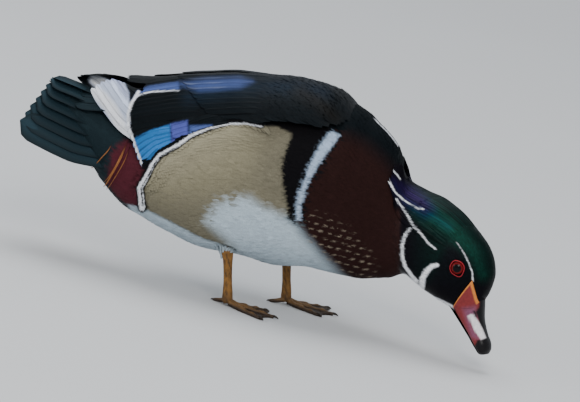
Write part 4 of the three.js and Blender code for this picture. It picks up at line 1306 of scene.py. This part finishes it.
def flank_fringe(name):
    """The white-tipped flank feathers that fold over the wing's lower edge."""
    side = SIDES[name]
    batch = VaneBatch()
    for i in range(FRINGE_COUNT):
        share = i / (FRINGE_COUNT - 1)
        here, way = line_point(FLANK_TOP, share)
        out = np.array([way[1], -way[0]])
        root = here + way * FRINGE_ROOT[0] - out * FRINGE_ROOT[1]
        end = here - way * FRINGE_TIP[0] + out * FRINGE_TIP[1]
        swell = FLANK_SWELL * float(fold_share(share)) + 0.4
        lift = (swell - 1.6, swell + 0.5, swell + 0.9 + 0.2 * (i % 2))
        centres, normals = seen_path(FLESH_SEEN, FLESH, root, end, 1.0, 18, lift, side)
        batch.add(vane_grid(centres, normals, 2.5, tip=0.7, thick=0.35, camber=0.2, columns=11))
    return batch.piece("flank_fringe_" + name, BODY_FINISH, flank_fringe_paint)


def plume_paint(p, tone, along, across):
    colour = np.tile(PLUME_ORANGE, (len(p), 1))
    return lay(colour, MAROON, smooth(0.3, 0.0, along)), np.full(len(p), PLUME_GLOSS)


# Root and tip pixel and half width of each plume
PLUMES = [((127, 142), (104, 184), 0.9), ((125, 145), (105.5, 180), 0.5),
          ((130, 147), (107, 187), 0.35), ((113, 142), (90.5, 166), 0.45)]


def plumes(name):
    """The long loose orange plumes that hang beside the rump."""
    batch = VaneBatch()
    for root, end, width in PLUMES:
        path = seen_path(FLESH_SEEN, FLESH, root, end, -3, 30, (-1.5, 1.6, 1.9), SIDES[name])
        batch.add(vane_grid(*path, width, tip=0.3, thick=0.4, columns=5))
    return batch.piece("rump_plumes_" + name, BODY_FINISH, plume_paint)


# Front and rear ends in x of each row of rump feathers, front row first, and the height of
# the back along x
COVER_ROWS = [(-112, -160), (-132, -178), (-152, -196), (-168, -210)]
COVER_X = (-212, -190, -170, -150, -130, -112)
COVER_Z = (134.5, 139.5, 144.5, 149.5, 153.5, 156)
COVER_HALF_WIDTH = 22.0
COVER_DROP = 9.0


def tail_paint(p, tone, along, across):
    colour = np.tile(TAIL_BLACK, (len(p), 1))
    colour = lay(colour, TAIL_BLUE, smooth(0.9, 0.2, np.abs(across)) * 0.5)
    colour = lay(colour, INK, smooth(0.88, 0.99, np.abs(across)) * 0.4)
    return colour * (1 + tone[:, None] * 0.1), np.full(len(p), TAIL_GLOSS)


# Tail feathers of one side: their number, half width in mm, and the roots and tips of the
# innermost one with how much the outermost one differs from it
TAIL_PAIRS = 7
TAIL_HALF_WIDTH = 13.5
TAIL_ROOT, TAIL_ROOT_FAN = np.array([-172, 3, 127.0]), np.array([0, 18, -40.0])
TAIL_TIP, TAIL_TIP_FAN = np.array([-236, 3.5, 136.8]), np.array([-11, 34, -31.0])


def tail():
    """The fan of tail feathers, the middle ones on top."""
    batch = VaneBatch()
    for side in (-1, 1):
        for i in range(TAIL_PAIRS):
            t = i / (TAIL_PAIRS - 1)
            mirror = np.array([1, side, 1])
            root = (TAIL_ROOT + TAIL_ROOT_FAN * t) * mirror
            end = (TAIL_TIP + TAIL_TIP_FAN * np.array([t, t, t ** 1.1])) * mirror
            end[0] += RNG.uniform(-1, 1)
            middle = root + (end - root) * 0.55 + np.array([0, 0, 1.5 - 5 * t])
            s = np.linspace(0, 1, 14)[:, None]
            centres = root * (1 - s) ** 2 + middle * 2 * s * (1 - s) + end * s * s
            normal = unit(np.array([0, side * (0.25 + 0.7 * t), 1 - 0.35 * t]))
            centres = centres + normal * (0.3 - 0.14 * i)
            normals = np.tile(normal, (len(s), 1))
            batch.add(vane_grid(centres, normals, TAIL_HALF_WIDTH - t, tip=0.82, camber=0.01,
                                columns=9))
    return batch.piece("tail_feathers", TAIL_FINISH, tail_paint)


def rump_cover_paint(p, tone, along, across):
    colour = lay(np.tile(BACK_BLACK, (len(p), 1)), TAIL_BLACK, smooth(-150, -190, p[:, 0]))
    colour = lay(colour, INK, smooth(0.8, 0.98, np.abs(across)) * 0.5)
    return colour * (1 + tone[:, None] * 0.1), np.full(len(p), COVER_GLOSS)


def rump_cover():
    """The black feathers between the wing ends, from the lower back to the tail root."""
    batch = VaneBatch()
    for layer, (front, rear) in enumerate(COVER_ROWS):
        for share in np.linspace(-1, 1, 9 - layer % 2):
            s = np.linspace(0, 1, 16)
            x = front + (rear - front) * s
            y = share * (COVER_HALF_WIDTH - 4 * s)
            z = np.interp(x, COVER_X, COVER_Z) - COVER_DROP * share ** 2 + 0.8 * (2 - layer)
            centres = np.stack([x, y, z], -1)
            normals = unit(np.tile(np.array([-0.15, 0.75 * share, 1.0]), (len(s), 1)))
            batch.add(vane_grid(centres, normals, 5.4, tip=0.7, thick=0.45, columns=9))
    return batch.piece("rump_cover_feathers", TAIL_FINISH, rump_cover_paint)


def crest_paint(p, tone, along, across):
    return head_paint(p, tone)


# Crest feathers run back from a root section to a tip section. The angles are measured from
# the crown; the lower ones reach farther back, the lowest are short, and each layer is set
# a step farther forward than the one under it
CREST_LAYERS = 3
CREST_COUNT = 16
CREST_ANGLE, CREST_SPREAD = 0.03, 1.12
CREST_ROOT, CREST_ROOT_SLANT = 20.6, 0.9
CREST_TIP, CREST_TIP_REACH = 16.6, 1.6
LOWEST_FROM, LOWEST_SHORTER = 0.88, 1.3
LAYER_ROOT_STEP, LAYER_TIP_STEP = 1.0, 0.55
CREST_SUNK, CREST_RISE, LAYER_RISE = -1.2, 2.6, 0.4


def crest():
    """The long feathers of the crest, in layers from the crown down both sides of the nape."""
    batch = VaneBatch()
    for side in (-1, 1):
        for layer in range(CREST_LAYERS):
            for i in range(CREST_COUNT):
                t = (i + 0.5 * (layer % 2)) / (CREST_COUNT - 0.5)
                angle = CREST_ANGLE + CREST_SPREAD * t
                reach = CREST_TIP - CREST_TIP_REACH * math.sin(min(t / 0.85, 1) * 1.5)
                reach += LOWEST_SHORTER if t > LOWEST_FROM else 0
                reach += layer * LAYER_TIP_STEP + RNG.uniform(-0.12, 0.12)
                start = CREST_ROOT - CREST_ROOT_SLANT * t + layer * LAYER_ROOT_STEP
                s = np.linspace(0, 1, 34)
                u = start + (reach - start) * s
                phi = angle * (1.12 - 0.12 * s) + 0.02
                off = CREST_SUNK + (CREST_RISE + LAYER_RISE * layer) * np.minimum(s * 2.2, 1)
                path = raised_path(FLESH, u, phi, off, side)
                batch.add(vane_grid(*path, 2.6, tip=0.3, thick=0.5, camber=0.12, columns=5))
    return batch.piece("crest_feathers", HEAD_FINISH, crest_paint)


# Head parts
def eye_seat():
    """Where the eye's middle lies on the right side of the straight head, and its outward way."""
    u, phi = np.meshgrid(np.linspace(21, 26, 101), np.linspace(0.9, 2.0, 56), indexing="ij")
    p = on_surface(FLESH, u, phi)
    miss = np.hypot(p[..., 0] - EYE_PLACE[0], p[..., 2] - EYE_PLACE[1])
    k = np.unravel_index(miss.argmin(), miss.shape)
    _, normal = surface_frame(FLESH, u[k], phi[k])
    return p[k], normal


EYE_SEAT, EYE_WAY = eye_seat()


def eye_of(name):
    """The eye's seat and outward way on the named side."""
    mirror = np.array([1, -SIDES[name], 1])
    return EYE_SEAT * mirror, EYE_WAY * mirror


IRIS_RED = paint(108, 20, 22)
IRIS_DARK = paint(62, 8, 6)
PUPIL = paint(4, 4, 5)
ORBIT_RED = paint(168, 34, 44)


def lathe_eye(name):
    """One round glossy eye."""
    rings, around = 40, 48
    seat, way = eye_of(name)
    centre = seat + way * (EYE_OUT - EYE_RADIUS)
    helper = unit(np.cross(way, [0, 0, 1.0]))
    other = np.cross(way, helper)
    lat = np.linspace(0, math.pi, rings + 2)[1:-1]
    lon = np.linspace(0, 2 * math.pi, around, endpoint=False)
    a, b = np.meshgrid(lat, lon, indexing="ij")
    d = (np.cos(a)[..., None] * way + np.sin(a)[..., None] * (
        np.cos(b)[..., None] * helper + np.sin(b)[..., None] * other))
    points = (centre + d * EYE_RADIUS).reshape(-1, 3)
    points = np.vstack([points, centre + way * EYE_RADIUS, centre - way * EYE_RADIUS])
    faces = []
    for i in range(rings - 1):
        for j in range(around):
            k, m = i * around + j, i * around + (j + 1) % around
            faces.append((k, m, m + around, k + around))
    top, bottom = rings * around, rings * around + 1
    for j in range(around):
        faces.append((top, j, (j + 1) % around))
        k = (rings - 1) * around
        faces.append((bottom, k + (j + 1) % around, k + j))
    obj = mesh_object("eye_ball_" + name, place(points), faces, EYE_FINISH)
    radial = np.append(np.repeat(np.sin(lat) * EYE_RADIUS, around), [0, 0])
    front = np.append(np.repeat(np.cos(lat), around), [1, -1]) > 0
    colour = np.tile(IRIS_RED, (len(points), 1))
    colour = lay(colour, IRIS_DARK, smooth(PUPIL_RADIUS + 0.6, PUPIL_RADIUS + 0.2, radial) * 0.6)
    colour = lay(colour, PUPIL, smooth(PUPIL_RADIUS + 0.1, PUPIL_RADIUS - 0.1, radial))
    colour = lay(colour, PUPIL, smooth(IRIS_RADIUS, IRIS_RADIUS + 0.25, radial))
    colour[~front] = PUPIL
    set_colours(obj.data, "tint", colour)
    face_outward(obj.data)
    return obj


def eye_finish():
    """A wet eye, its iris streaked by fine noise."""
    material, tree, shader = new_material("eye_gloss")
    space = node(tree, "ShaderNodeTexCoord").outputs["Object"]
    shade = ranged(tree, noise(tree, space, 1800), 0.7, 1.35)
    toned = scaled(tree, stored(tree, "tint").outputs["Color"], shade)
    link(tree, toned, shader.inputs["Base Color"])
    shader.inputs["Roughness"].default_value = 0.08
    shader.inputs["Specular IOR Level"].default_value = 0.13
    return material


EYE_FINISH = eye_finish()


def eyelid(name):
    """The fleshy red ring round the eye, drawn to a corner in front and behind."""
    seat, way = eye_of(name)
    front = np.array(EYE_CORNER_WAY)
    front = unit(front - way * (front @ way))
    other = np.cross(way, front)
    around, section_count = 64, 12
    points, colours = [], []
    for i in range(around):
        a = 2 * math.pi * i / around
        front_corner = max(math.cos(a), 0) ** 9 * LID_CORNERS[0]
        rear_corner = max(-math.cos(a), 0) ** 9 * LID_CORNERS[1]
        reach = LID_LINE + (front_corner + rear_corner)
        outward = front * math.cos(a) + other * math.sin(a)
        for j in range(section_count):
            b = 2 * math.pi * j / section_count
            bead = LID_BEAD_HEIGHT * math.sin(a * LID_BEADS + j)
            thick = LID_THICK + bead * (math.cos(b) > 0)
            points.append(seat + outward * (reach + math.cos(b) * thick)
                          + way * (0.35 + math.sin(b) * 0.6))
            # Painted shade: the lid's inner side, where it folds against the eye, is darkened
            lid_crease_shade = max(-math.cos(b), 0)
            colours.append(ORBIT_RED * (1 - 0.85 * lid_crease_shade))
    faces = []
    for i in range(around):
        for j in range(section_count):
            k, m = (i + 1) % around, (j + 1) % section_count
            faces.append((i * section_count + j, k * section_count + j,
                          k * section_count + m, i * section_count + m))
    obj = mesh_object("eyelid_" + name, place(np.array(points)), faces, LID_FINISH)
    set_colours(obj.data, "tint", np.array(colours))
    face_outward(obj.data)
    return obj


BILL_RED = paint(126, 45, 46)
BILL_PINK = paint(124, 74, 98)
BILL_ORANGE = paint(212, 128, 56)
BILL_WHITE = paint(232, 226, 228)
BILL_BLACK = paint(12, 10, 12)
BILL_PATCH = [(467, 315), (471, 313), (477, 320), (481.5, 328), (485, 337), (480, 339),
              (473, 329)]
BILL_DARK = [(480.5, 303), (474.5, 311), (477.5, 319), (482, 327.5), (485.6, 337), (476, 339.5),
             (473, 347), (480, 362), (506, 362), (506, 330), (498, 300), (486, 300)]
BILL_BLUSH = [(462, 308), (474, 306), (477, 318), (470, 324), (480, 340), (470, 336)]
# Painted shade inside each nostril's hole
NOSTRIL_SHADE = [(473.2, 311.5), (474.8, 316)]


def bill_paint(p):
    """The bill's colours: red with a paler blush, white on its side, black along its top."""
    px = picture_place(p)
    colour = np.tile(BILL_RED, (len(p), 1))
    colour = lay(colour, BILL_PINK, patch(px, BILL_BLUSH, 4))
    colour = lay(colour, BILL_BLACK, patch(px, BILL_DARK, 1.0) * (p[:, 2] < 58))
    colour = lay(colour, BILL_BLACK, smooth(6.4, 5.2, np.abs(p[:, 1])) * (p[:, 2] < 60))
    colour = lay(colour, BILL_WHITE, patch(px, BILL_PATCH, 0.9))
    # Painted shade: a black spot in the nostril's hole
    colour = lay(colour, BILL_BLACK, stroke(px, NOSTRIL_SHADE, 2.4, 1.6))
    return colour


def bill_loft(top, low, width, rings=60, around=48, square=2.5):
    """Points of a closed bill part between an upper and a lower line."""
    u = np.linspace(0, len(BILL) - 1, rings)
    s = section(BILL, u)
    t, b = s[:, top:top + 2], s[:, low:low + 2]
    phi = np.linspace(0, 2 * math.pi, around, endpoint=False)
    half = (t - b) / 2
    middle = (t + b) / 2
    cosine = np.sign(np.cos(phi)) * np.abs(np.cos(phi)) ** (2 / square)
    sine = np.sign(np.sin(phi)) * np.abs(np.sin(phi)) ** (2 / square)
    x = middle[:, None, 0] + half[:, None, 0] * cosine
    z = middle[:, None, 1] + half[:, None, 1] * cosine
    y = (s[:, 6] * width)[:, None] * sine * (1 - 0.14 * cosine)
    return np.stack([x, y, z], -1).reshape(-1, 3), rings, around


def tube_faces(rings, around):
    """Faces of a closed tube of rings, with a flat face at each end."""
    faces = []
    for i in range(rings - 1):
        for j in range(around):
            a, b = i * around + j, i * around + (j + 1) % around
            faces.append((a, b, b + around, a + around))
    faces.append(tuple(range(around))[::-1])
    faces.append(tuple((rings - 1) * around + k for k in range(around)))
    return faces


# Middle of each nostril with the ways along and across it, and middle of the nail at the tip
NOSTRIL_PLACE = np.array([148.9, 7.2, 44.6])
NOSTRIL_ALONG, NOSTRIL_ACROSS = np.array([0.45, 0, -0.89]), np.array([0.89, 0, 0.45])
NOSTRIL_HALF, NOSTRIL_DEPTH = (2.4, 1.0), 2.6
NAIL_PLACE = np.array([164, 0, 20.0])
NAIL_REACH = np.array([3, 3.6, 6.0])
NAIL_RISE = 0.6


def bill_upper():
    """The upper bill, with its nostrils and the nail at its tip."""
    points, rings, around = bill_loft(0, 2, 1.0)
    for side in (-1, 1):
        d = points - NOSTRIL_PLACE * np.array([1, side, 1])
        lengthwise = d @ NOSTRIL_ALONG / NOSTRIL_HALF[0]
        crosswise = d @ NOSTRIL_ACROSS / NOSTRIL_HALF[1]
        near = np.exp(-lengthwise ** 2 - crosswise ** 2) * (np.sign(points[:, 1]) == side)
        points[:, 1] -= side * near * NOSTRIL_DEPTH
    nail = np.exp(-(((points - NAIL_PLACE) / NAIL_REACH) ** 2).sum(-1))
    points[:, 0] += nail * NAIL_RISE
    obj = mesh_object("upper_bill", place(points), tube_faces(rings, around), BILL_FINISH)
    set_colours(obj.data, "tint", bill_paint(points))
    face_outward(obj.data)
    return obj


def bill_lower():
    """The lower bill, set a little in from the upper one."""
    points, rings, around = bill_loft(2, 4, 0.62, square=2.3)
    points[:, 2] -= 0.25
    points[:, 0] -= 0.25
    obj = mesh_object("lower_bill", place(points), tube_faces(rings, around), BILL_FINISH)
    set_colours(obj.data, "tint", np.tile(BILL_BLACK, (len(points), 1)))
    face_outward(obj.data)
    return obj


def sheet_faces(rows, columns):
    """Faces of a closed sheet: an upper grid, a lower grid after it, and the rim between them."""
    other = rows * columns
    faces = []
    for i in range(rows - 1):
        for j in range(columns - 1):
            a = i * columns + j
            faces.append((a, a + 1, a + columns + 1, a + columns))
            b = a + other
            faces.append((b, b + columns, b + columns + 1, b + 1))
    rim = ([j for j in range(columns)] + [i * columns + columns - 1 for i in range(1, rows)]
           + [(rows - 1) * columns + j for j in range(columns - 2, -1, -1)]
           + [i * columns for i in range(rows - 2, 0, -1)])
    for k, a in enumerate(rim):
        b = rim[(k + 1) % len(rim)]
        faces.append((a, b, b + other, a + other))
    return faces


# Rear and front corner of a lobe's foot, and its upper end, as x z
LOBE_REAR, LOBE_FRONT = np.array([128.8, 44.5]), np.array([150.8, 51.5])
LOBE_APEX = np.array([142.3, 72.3])
LOBE_EDGE, LOBE_CROWN, LOBE_UNDER = 0.3, 0.9, -1.2


def bill_lobe(name):
    """The bare lobe that climbs from the bill up the face, in front of the eye."""
    side = SIDES[name]
    rows, columns = 54, 40
    points, edges = [], []
    for face in (1, 0):
        for i in range(rows):
            s = i / (rows - 1)
            narrow = 1 - s ** 1.25
            left = LOBE_APEX + (LOBE_REAR - LOBE_APEX) * narrow
            right = LOBE_APEX + (LOBE_FRONT - LOBE_APEX) * narrow
            for j in range(columns):
                v = j / (columns - 1)
                x, z = left + (right - left) * v
                rim = math.sqrt(max(1 - (2 * v - 1) ** 4, 0)) * min((1 - s) * 5, 1)
                points.append((x, z, LOBE_EDGE + LOBE_CROWN * rim if face else LOBE_UNDER))
                wide = math.hypot(*(right - left))
                edges.append(min((1 - v) * wide / 1.9, v * wide / (0.7 + 1.6 * s)))
    points, edges = np.array(points), np.array(edges)
    fine_u, fine_phi = np.meshgrid(np.linspace(22, 29, 141), np.linspace(0.4, 2.9, 160),
                                   indexing="ij")
    grid = on_surface(FLESH, fine_u, fine_phi).reshape(-1, 3)
    grid_u, grid_phi = fine_u.ravel(), fine_phi.ravel()
    solved = []
    for x, z, off in points:
        k = np.argmin((grid[:, 0] - x) ** 2 + (grid[:, 2] - z) ** 2)
        q = on_surface(FLESH, grid_u[k], grid_phi[k], off, side)
        solved.append((x, q[1], z))
    solved = np.array(solved)
    obj = mesh_object("bill_lobe_" + name, place(solved), sheet_faces(rows, columns), BILL_FINISH)
    rim_share = smooth(1.2, 0.6, edges) * smooth(3.0, 5.0, np.abs(solved[:, 1]))
    set_colours(obj.data, "tint", lay(bill_paint(solved), BILL_ORANGE, rim_share))
    face_outward(obj.data)
    return obj


# Legs
OCHRE = paint(124, 86, 38)
LEG_DARK_AND_SHADE = paint(52, 38, 24)
WEB_BROWN = paint(50, 38, 28)
TOE_BROWN = paint(104, 76, 44)


def rod(stations, around=20):
    """A closed rod through stations of x, y, z and two radii, with extra rings between them."""
    s = np.array(stations, float)
    rings = (len(s) - 1) * 6 + 1
    fine = section(s, np.linspace(0, len(s) - 1, rings))
    along = unit(np.gradient(fine[:, :3], axis=0))
    sideways = unit(np.cross([0, 1.0, 0], along))
    up = np.cross(along, sideways)
    a = np.linspace(0, 2 * math.pi, around, endpoint=False)
    wide = np.cos(a)[None, :, None] * fine[:, 3, None, None]
    high = np.sin(a)[None, :, None] * fine[:, 4, None, None]
    p = fine[:, None, :3] + sideways[:, None] * wide + up[:, None] * high
    return p.reshape(-1, 3), tube_faces(rings, around)


def join_shapes(shapes):
    """Points and faces of several shapes as one."""
    points, faces, count = [], [], 0
    for p, f in shapes:
        points.append(p)
        faces += [tuple(k + count for k in face) for face in f]
        count += len(p)
    return np.vstack(points), faces


def leg_piece(name, shapes, finish, painter, side):
    """One piece of a leg, mirrored to its side, with nothing under the floor."""
    points, faces = join_shapes(shapes)
    points[:, 1] *= -side
    points[:, 2] = np.maximum(points[:, 2], 0.0)
    obj = mesh_object(name, place(points), faces, finish)
    set_colours(obj.data, "tint", painter(points))
    face_outward(obj.data)
    return obj


def shank_paint(p):
    blotch = np.sin(p[:, 2] * 0.9 + p[:, 0] * 1.7) * np.sin(p[:, 2] * 0.37 + p[:, 1] * 1.3)
    colour = lay(np.tile(OCHRE, (len(p), 1)), LEG_DARK_AND_SHADE, smooth(0.1, 0.7, blotch) * 0.8)
    # Darker low down towards the foot, and painted shade at the top, where the shank goes in under
    # the belly's feathers
    return lay(colour, LEG_DARK_AND_SHADE, np.maximum(smooth(13, 4, p[:, 2]), smooth(40, 50, p[:, 2])) * 0.6)


def foot_paint(p):
    colour = np.tile(WEB_BROWN, (len(p), 1))
    return lay(colour, TOE_BROWN, smooth(1.8, 4.0, p[:, 2]))


def claw_paint(p):
    return np.tile(LEG_DARK_AND_SHADE * 0.5, (len(p), 1))


# Each front toe: its angle in degrees, its share of the middle toe's length, its half width
TOES = ((4, 1.0, 2.7), (32, 0.93, 2.5), (-24, 0.82, 2.5))
TOE_JOINTS = (0.42, 0.68)
TOE_STATIONS = (0, 0.1, 0.25, 0.42, 0.5, 0.6, 0.68, 0.76, 0.86, 0.9)
# Stations of the shank from the thigh down: x from the foot, height, two half widths
SHANK = ((-11, 50, 5.4, 4.6), (-9.0, 43, 5.0, 4.2), (-7.4, 38, 4.2, 3.5), (-6, 32, 3.7, 3.0),
         (-3.3, 20, 3.5, 2.8), (-1.4, 11.5, 4.0, 3.3), (-0.4, 6, 4.3, 4.1), (1, 3, 4.0, 4.0))
# Stations of a front claw: share of the toe's length, height, half width
CLAW = ((0.86, 1.7, 1.1), (0.92, 2.0, 1.0), (0.97, 1.5, 0.65), (1.0, 0.7, 0.15))
# Stations of the hind toe and its claw: x and y from the foot, height, two half widths
HIND_TOE = ((-1, 2, 4.2, 2.2, 2), (-6, 4, 2.2, 1.8, 1.6), (-10.5, 5.5, 1.3, 1.4, 1.3),
            (-12, 5.8, 1.0, 1.0, 1.0))
HIND_CLAW = ((-11.5, 5.7, 1.2, 0.9, 0.8), (-13.4, 6.1, 1.0, 0.6, 0.6),
             (-14.5, 6.3, 0.4, 0.12, 0.12))


def leg(name):
    """Shank, webbed foot and claws of one leg."""
    side = SIDES[name]
    x = FOOT_X[name]
    y = -FOOT_SPREAD
    shank = rod([[x + dx, y, z, a, b] for dx, z, a, b in SHANK], 24)
    shapes, claws = [], []
    for angle, share, thick in TOES:
        a = math.radians(angle)
        dx, dy, length = math.cos(a), -math.sin(a), TOE_LENGTH * share
        stations = []
        for t in TOE_STATIONS:
            knuckle = 1.14 if t in TOE_JOINTS else 0.94
            r = thick * (1 - 0.45 * t) * knuckle
            rise = 2.4 * max(1 - t / 0.3, 0)
            stations.append([x + dx * length * t, y + dy * length * t, r - 0.3 + rise, r, r])
        shapes.append(rod(stations, 16))
        claws.append(rod([[x + dx * length * t, y + dy * length * t, z, r, r * 0.8]
                          for t, z, r in CLAW], 10))
    shapes.append(rod([[x + row[0], y + row[1], *row[2:]] for row in HIND_TOE], 12))
    claws.append(rod([[x + row[0], y + row[1], *row[2:]] for row in HIND_CLAW], 8))
    shapes.append(web(x, y))
    return (leg_piece("shank_" + name, [shank], LEG_FINISH, shank_paint, side),
            leg_piece("foot_" + name + "_skin", shapes, LEG_FINISH, foot_paint, side),
            leg_piece("claws_" + name, claws, CLAW_FINISH, claw_paint, side))


def thigh_paint(p, tone):
    """The belly's colours, a little browner with painted shade."""
    colour, gloss = body_paint(p, tone)
    return lay(colour, PAINTED_SHADE_BROWN, 0.15 + 0.1 * np.tanh(tone)), gloss


def thigh_tuft(name, seed):
    """The short loose feathers from which the shank comes out."""
    side = SIDES[name]
    around = RNG.uniform(0, 2 * math.pi, THIGH_FEATHERS)
    reach = RNG.uniform(2.5, 9.0, THIGH_FEATHERS)
    cosine, sine = np.cos(around), np.sin(around)
    root = np.stack([FOOT_X[name] - THIGH_BACK + reach * 1.25 * cosine,
                     -FOOT_SPREAD + reach * 0.85 * sine,
                     THIGH_HEIGHT + 0.5 * reach + RNG.normal(0, 1.1, THIGH_FEATHERS)], -1)
    lie = np.stack([-0.12 - 0.1 * reach * cosine, -0.1 * reach * sine,
                    np.full(THIGH_FEATHERS, -1.0)], -1)
    out = np.stack([cosine, sine, np.zeros(THIGH_FEATHERS)], -1)
    for part in (root, lie, out):
        part[:, 1] *= -side
    base = place(root)
    turns = euler_of(place(root + lie) - base, place(root + out) - base)
    size = np.array(THIGH_FEATHER_SIZE) * MM
    sizes = size * (1.15 - 0.05 * reach)[:, None] * RNG.uniform(0.85, 1.1, (THIGH_FEATHERS, 1))
    uv = np.stack([0.05 + around / 7, 0.05 + reach / 10], -1)
    obj = grow("thigh_tuft_" + name, base, turns, sizes, RNG.normal(0, 1, THIGH_FEATHERS), uv,
               BODY_FINISH, seed)
    return dress(obj, thigh_paint)


# The web reaches from one outer toe to the other, with the middle toe between, in degrees
WEB_START, WEB_MIDDLE, WEB_TURN = -24, 4, 56


def web(x, y):
    """The web between the three front toes, sagging between them with a hollow front edge."""
    rows, columns = 16, 41
    points = []
    for face in (1, 0):
        for i in range(rows):
            s = i / (rows - 1)
            for j in range(columns):
                angle = WEB_START + WEB_TURN * j / (columns - 1)
                toe = WEB_START if angle < WEB_MIDDLE else WEB_MIDDLE
                scallop = math.sin(math.pi * (angle - toe) / (WEB_TURN / 2))
                reach = TOE_LENGTH * (0.8 + 0.08 * j / (columns - 1) - 0.1 * scallop) * s
                fold = 0.25 * math.sin(angle * 1.9) * s
                height = 1.45 + fold + 1.4 * (1 - s) ** 2 + 0.5 * (1 - scallop)
                a = math.radians(angle)
                points.append((x + 1 + math.cos(a) * reach, y - math.sin(a) * reach,
                               height if face else 0.35))
    return np.array(points), sheet_faces(rows, columns)


# Room, light and camera
def floor():
    material, tree, shader = new_material("studio_floor")
    space = node(tree, "ShaderNodeTexCoord").outputs["Object"]
    link(tree, ranged(tree, noise(tree, space, 3), 0.60, 0.64), shader.inputs["Base Color"])
    shader.inputs["Roughness"].default_value = 0.8
    reach = 40.0
    corners = [(-reach, -reach, 0), (reach, -reach, 0), (reach, reach, 0), (-reach, reach, 0)]
    obj = mesh_object("studio_floor", corners, [(0, 1, 2, 3)], material, False)


# Each lamp: place and size in metres, power, colour
LAMPS = {"sky_lamp": ((-0.3, 0.3, 2.2), 1.8, 34, (0.93, 0.97, 1.0)),
         "front_lamp": ((0.6, -2.0, 1.5), 1.2, 28, (1.0, 0.98, 0.95)),
         "low_lamp": ((-1.6, -1.4, 0.7), 1.0, 7, (1, 1, 1))}
SKY_COLOUR = (0.86, 0.9, 0.96, 1)
SKY_STRENGTH = 0.72
LAMP_AIM = (0, 0, 0.1)


def lamp(name, position, size, power, colour):
    """A round lamp that points at the bird."""
    data = bpy.data.lights.new(name, "AREA")
    data.shape = "DISK"
    data.size = size
    data.energy = power
    data.color = colour
    obj = bpy.data.objects.new(name, data)
    obj.location = position
    aim = Vector(LAMP_AIM) - Vector(position)
    obj.rotation_euler = aim.to_track_quat("-Z", "Y").to_euler()
    bpy.context.scene.collection.objects.link(obj)


def studio():
    """The soft light of an overcast day, and three lamps."""
    world = bpy.data.worlds.new("studio")
    bpy.context.scene.world = world
    world.use_nodes = True
    background = world.node_tree.nodes["Background"]
    background.inputs["Color"].default_value = SKY_COLOUR
    background.inputs["Strength"].default_value = SKY_STRENGTH
    for name, values in LAMPS.items():
        lamp(name, *values)


CAMERA_DISTANCE = 10.0
SENSOR_WIDTH = 36


def camera():
    """A long lens from far off, framed as the photograph is."""
    data = bpy.data.cameras.new("camera")
    data.sensor_fit = "HORIZONTAL"
    data.sensor_width = SENSOR_WIDTH
    data.lens = SENSOR_WIDTH * CAMERA_DISTANCE / (WIDTH * PIXEL * MM)
    data.clip_end = 200
    obj = bpy.data.objects.new("camera", data)
    bpy.context.scene.collection.objects.link(obj)
    middle = (MARK_POINT + CAMERA_RIGHT * (WIDTH / 2 - MARK_PIXEL[0]) * PIXEL
              + CAMERA_UP * (MARK_PIXEL[1] - HEIGHT / 2) * PIXEL)
    middle[0] -= MIDDLE_X
    spot = middle * MM + CAMERA_BACK * CAMERA_DISTANCE
    basis = Matrix((CAMERA_RIGHT, CAMERA_UP, CAMERA_BACK)).transposed().to_4x4()
    obj.matrix_world = Matrix.Translation(Vector(spot)) @ basis
    bpy.context.scene.camera = obj


# Assembly
camera()
studio()
floor()


def keep(obj, slot, *nodes):
    """Gives a piece its body and hides the solids that it stands for; its slot is not used."""
    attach(obj, "root")
    if nodes:
        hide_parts(*nodes)


keep(skin(), "flank_plumage", "torso", "neck", "head", "thigh_right", "thigh_left")

# The coat's pieces from tail to face: name, first and last section, seed, and then the slot
# of the trunk's pieces, and how far the vanes of the head's pieces lift
for name, start, end, seed, slot in (("tail_root", 0.1, 5, 1, "tail_plumage"),
                                     ("rump", 5, 8.2, 2, "flank_plumage"),
                                     ("flank", 8.2, 10, 3, "flank_plumage"),
                                     ("side", 10, 12, 3, "flank_plumage"),
                                     ("shoulder", 12, 14.5, 4, "breast_plumage"),
                                     ("breast", 14.5, 17.2, 4, "breast_plumage")):
    keep(coat("coat_" + name, start, end, BODY_FINISH, body_paint, seed), slot)
for name, start, end, seed, lift in (("nape", 17.2, 20.4, 5, 0.035), ("head", 20.4, 23, 6, 0.035),
                                     ("cheek", 23, 25.6, 6, 0.09), ("face", 25.6, 29.1, 7, 0.12)):
    keep(coat("coat_" + name, start, end, HEAD_FINISH, head_paint, seed, lift), "head_plumage")
keep(crest(), "head_plumage")
keep(tail(), "tail_plumage", "tail")
keep(rump_cover(), "tail_plumage")
for name in SIDES:
    keep(wing(name), "wing_plumage", "wing_" + name)
    keep(mantle_coat(name, 8), "wing_plumage")
    keep(flank_fringe(name), "flank_plumage")
    keep(plumes(name), "flank_plumage")
    keep(lathe_eye(name), "eye", "eye_" + name)
    keep(eyelid(name), "eye")
    keep(bill_lobe(name), "bill_red")
    shank, foot, claws = leg(name)
    keep(thigh_tuft(name, 9), "thigh_plumage")
    keep(shank, "leg_skin", "tarsus_" + name)
    keep(foot, "foot_skin", "foot_" + name)
    keep(claws, "foot_skin")
keep(bill_upper(), "bill_red", "bill_upper")
keep(bill_lower(), "bill_black", "bill_lower")
bpy.data.objects.remove(FEATHER)
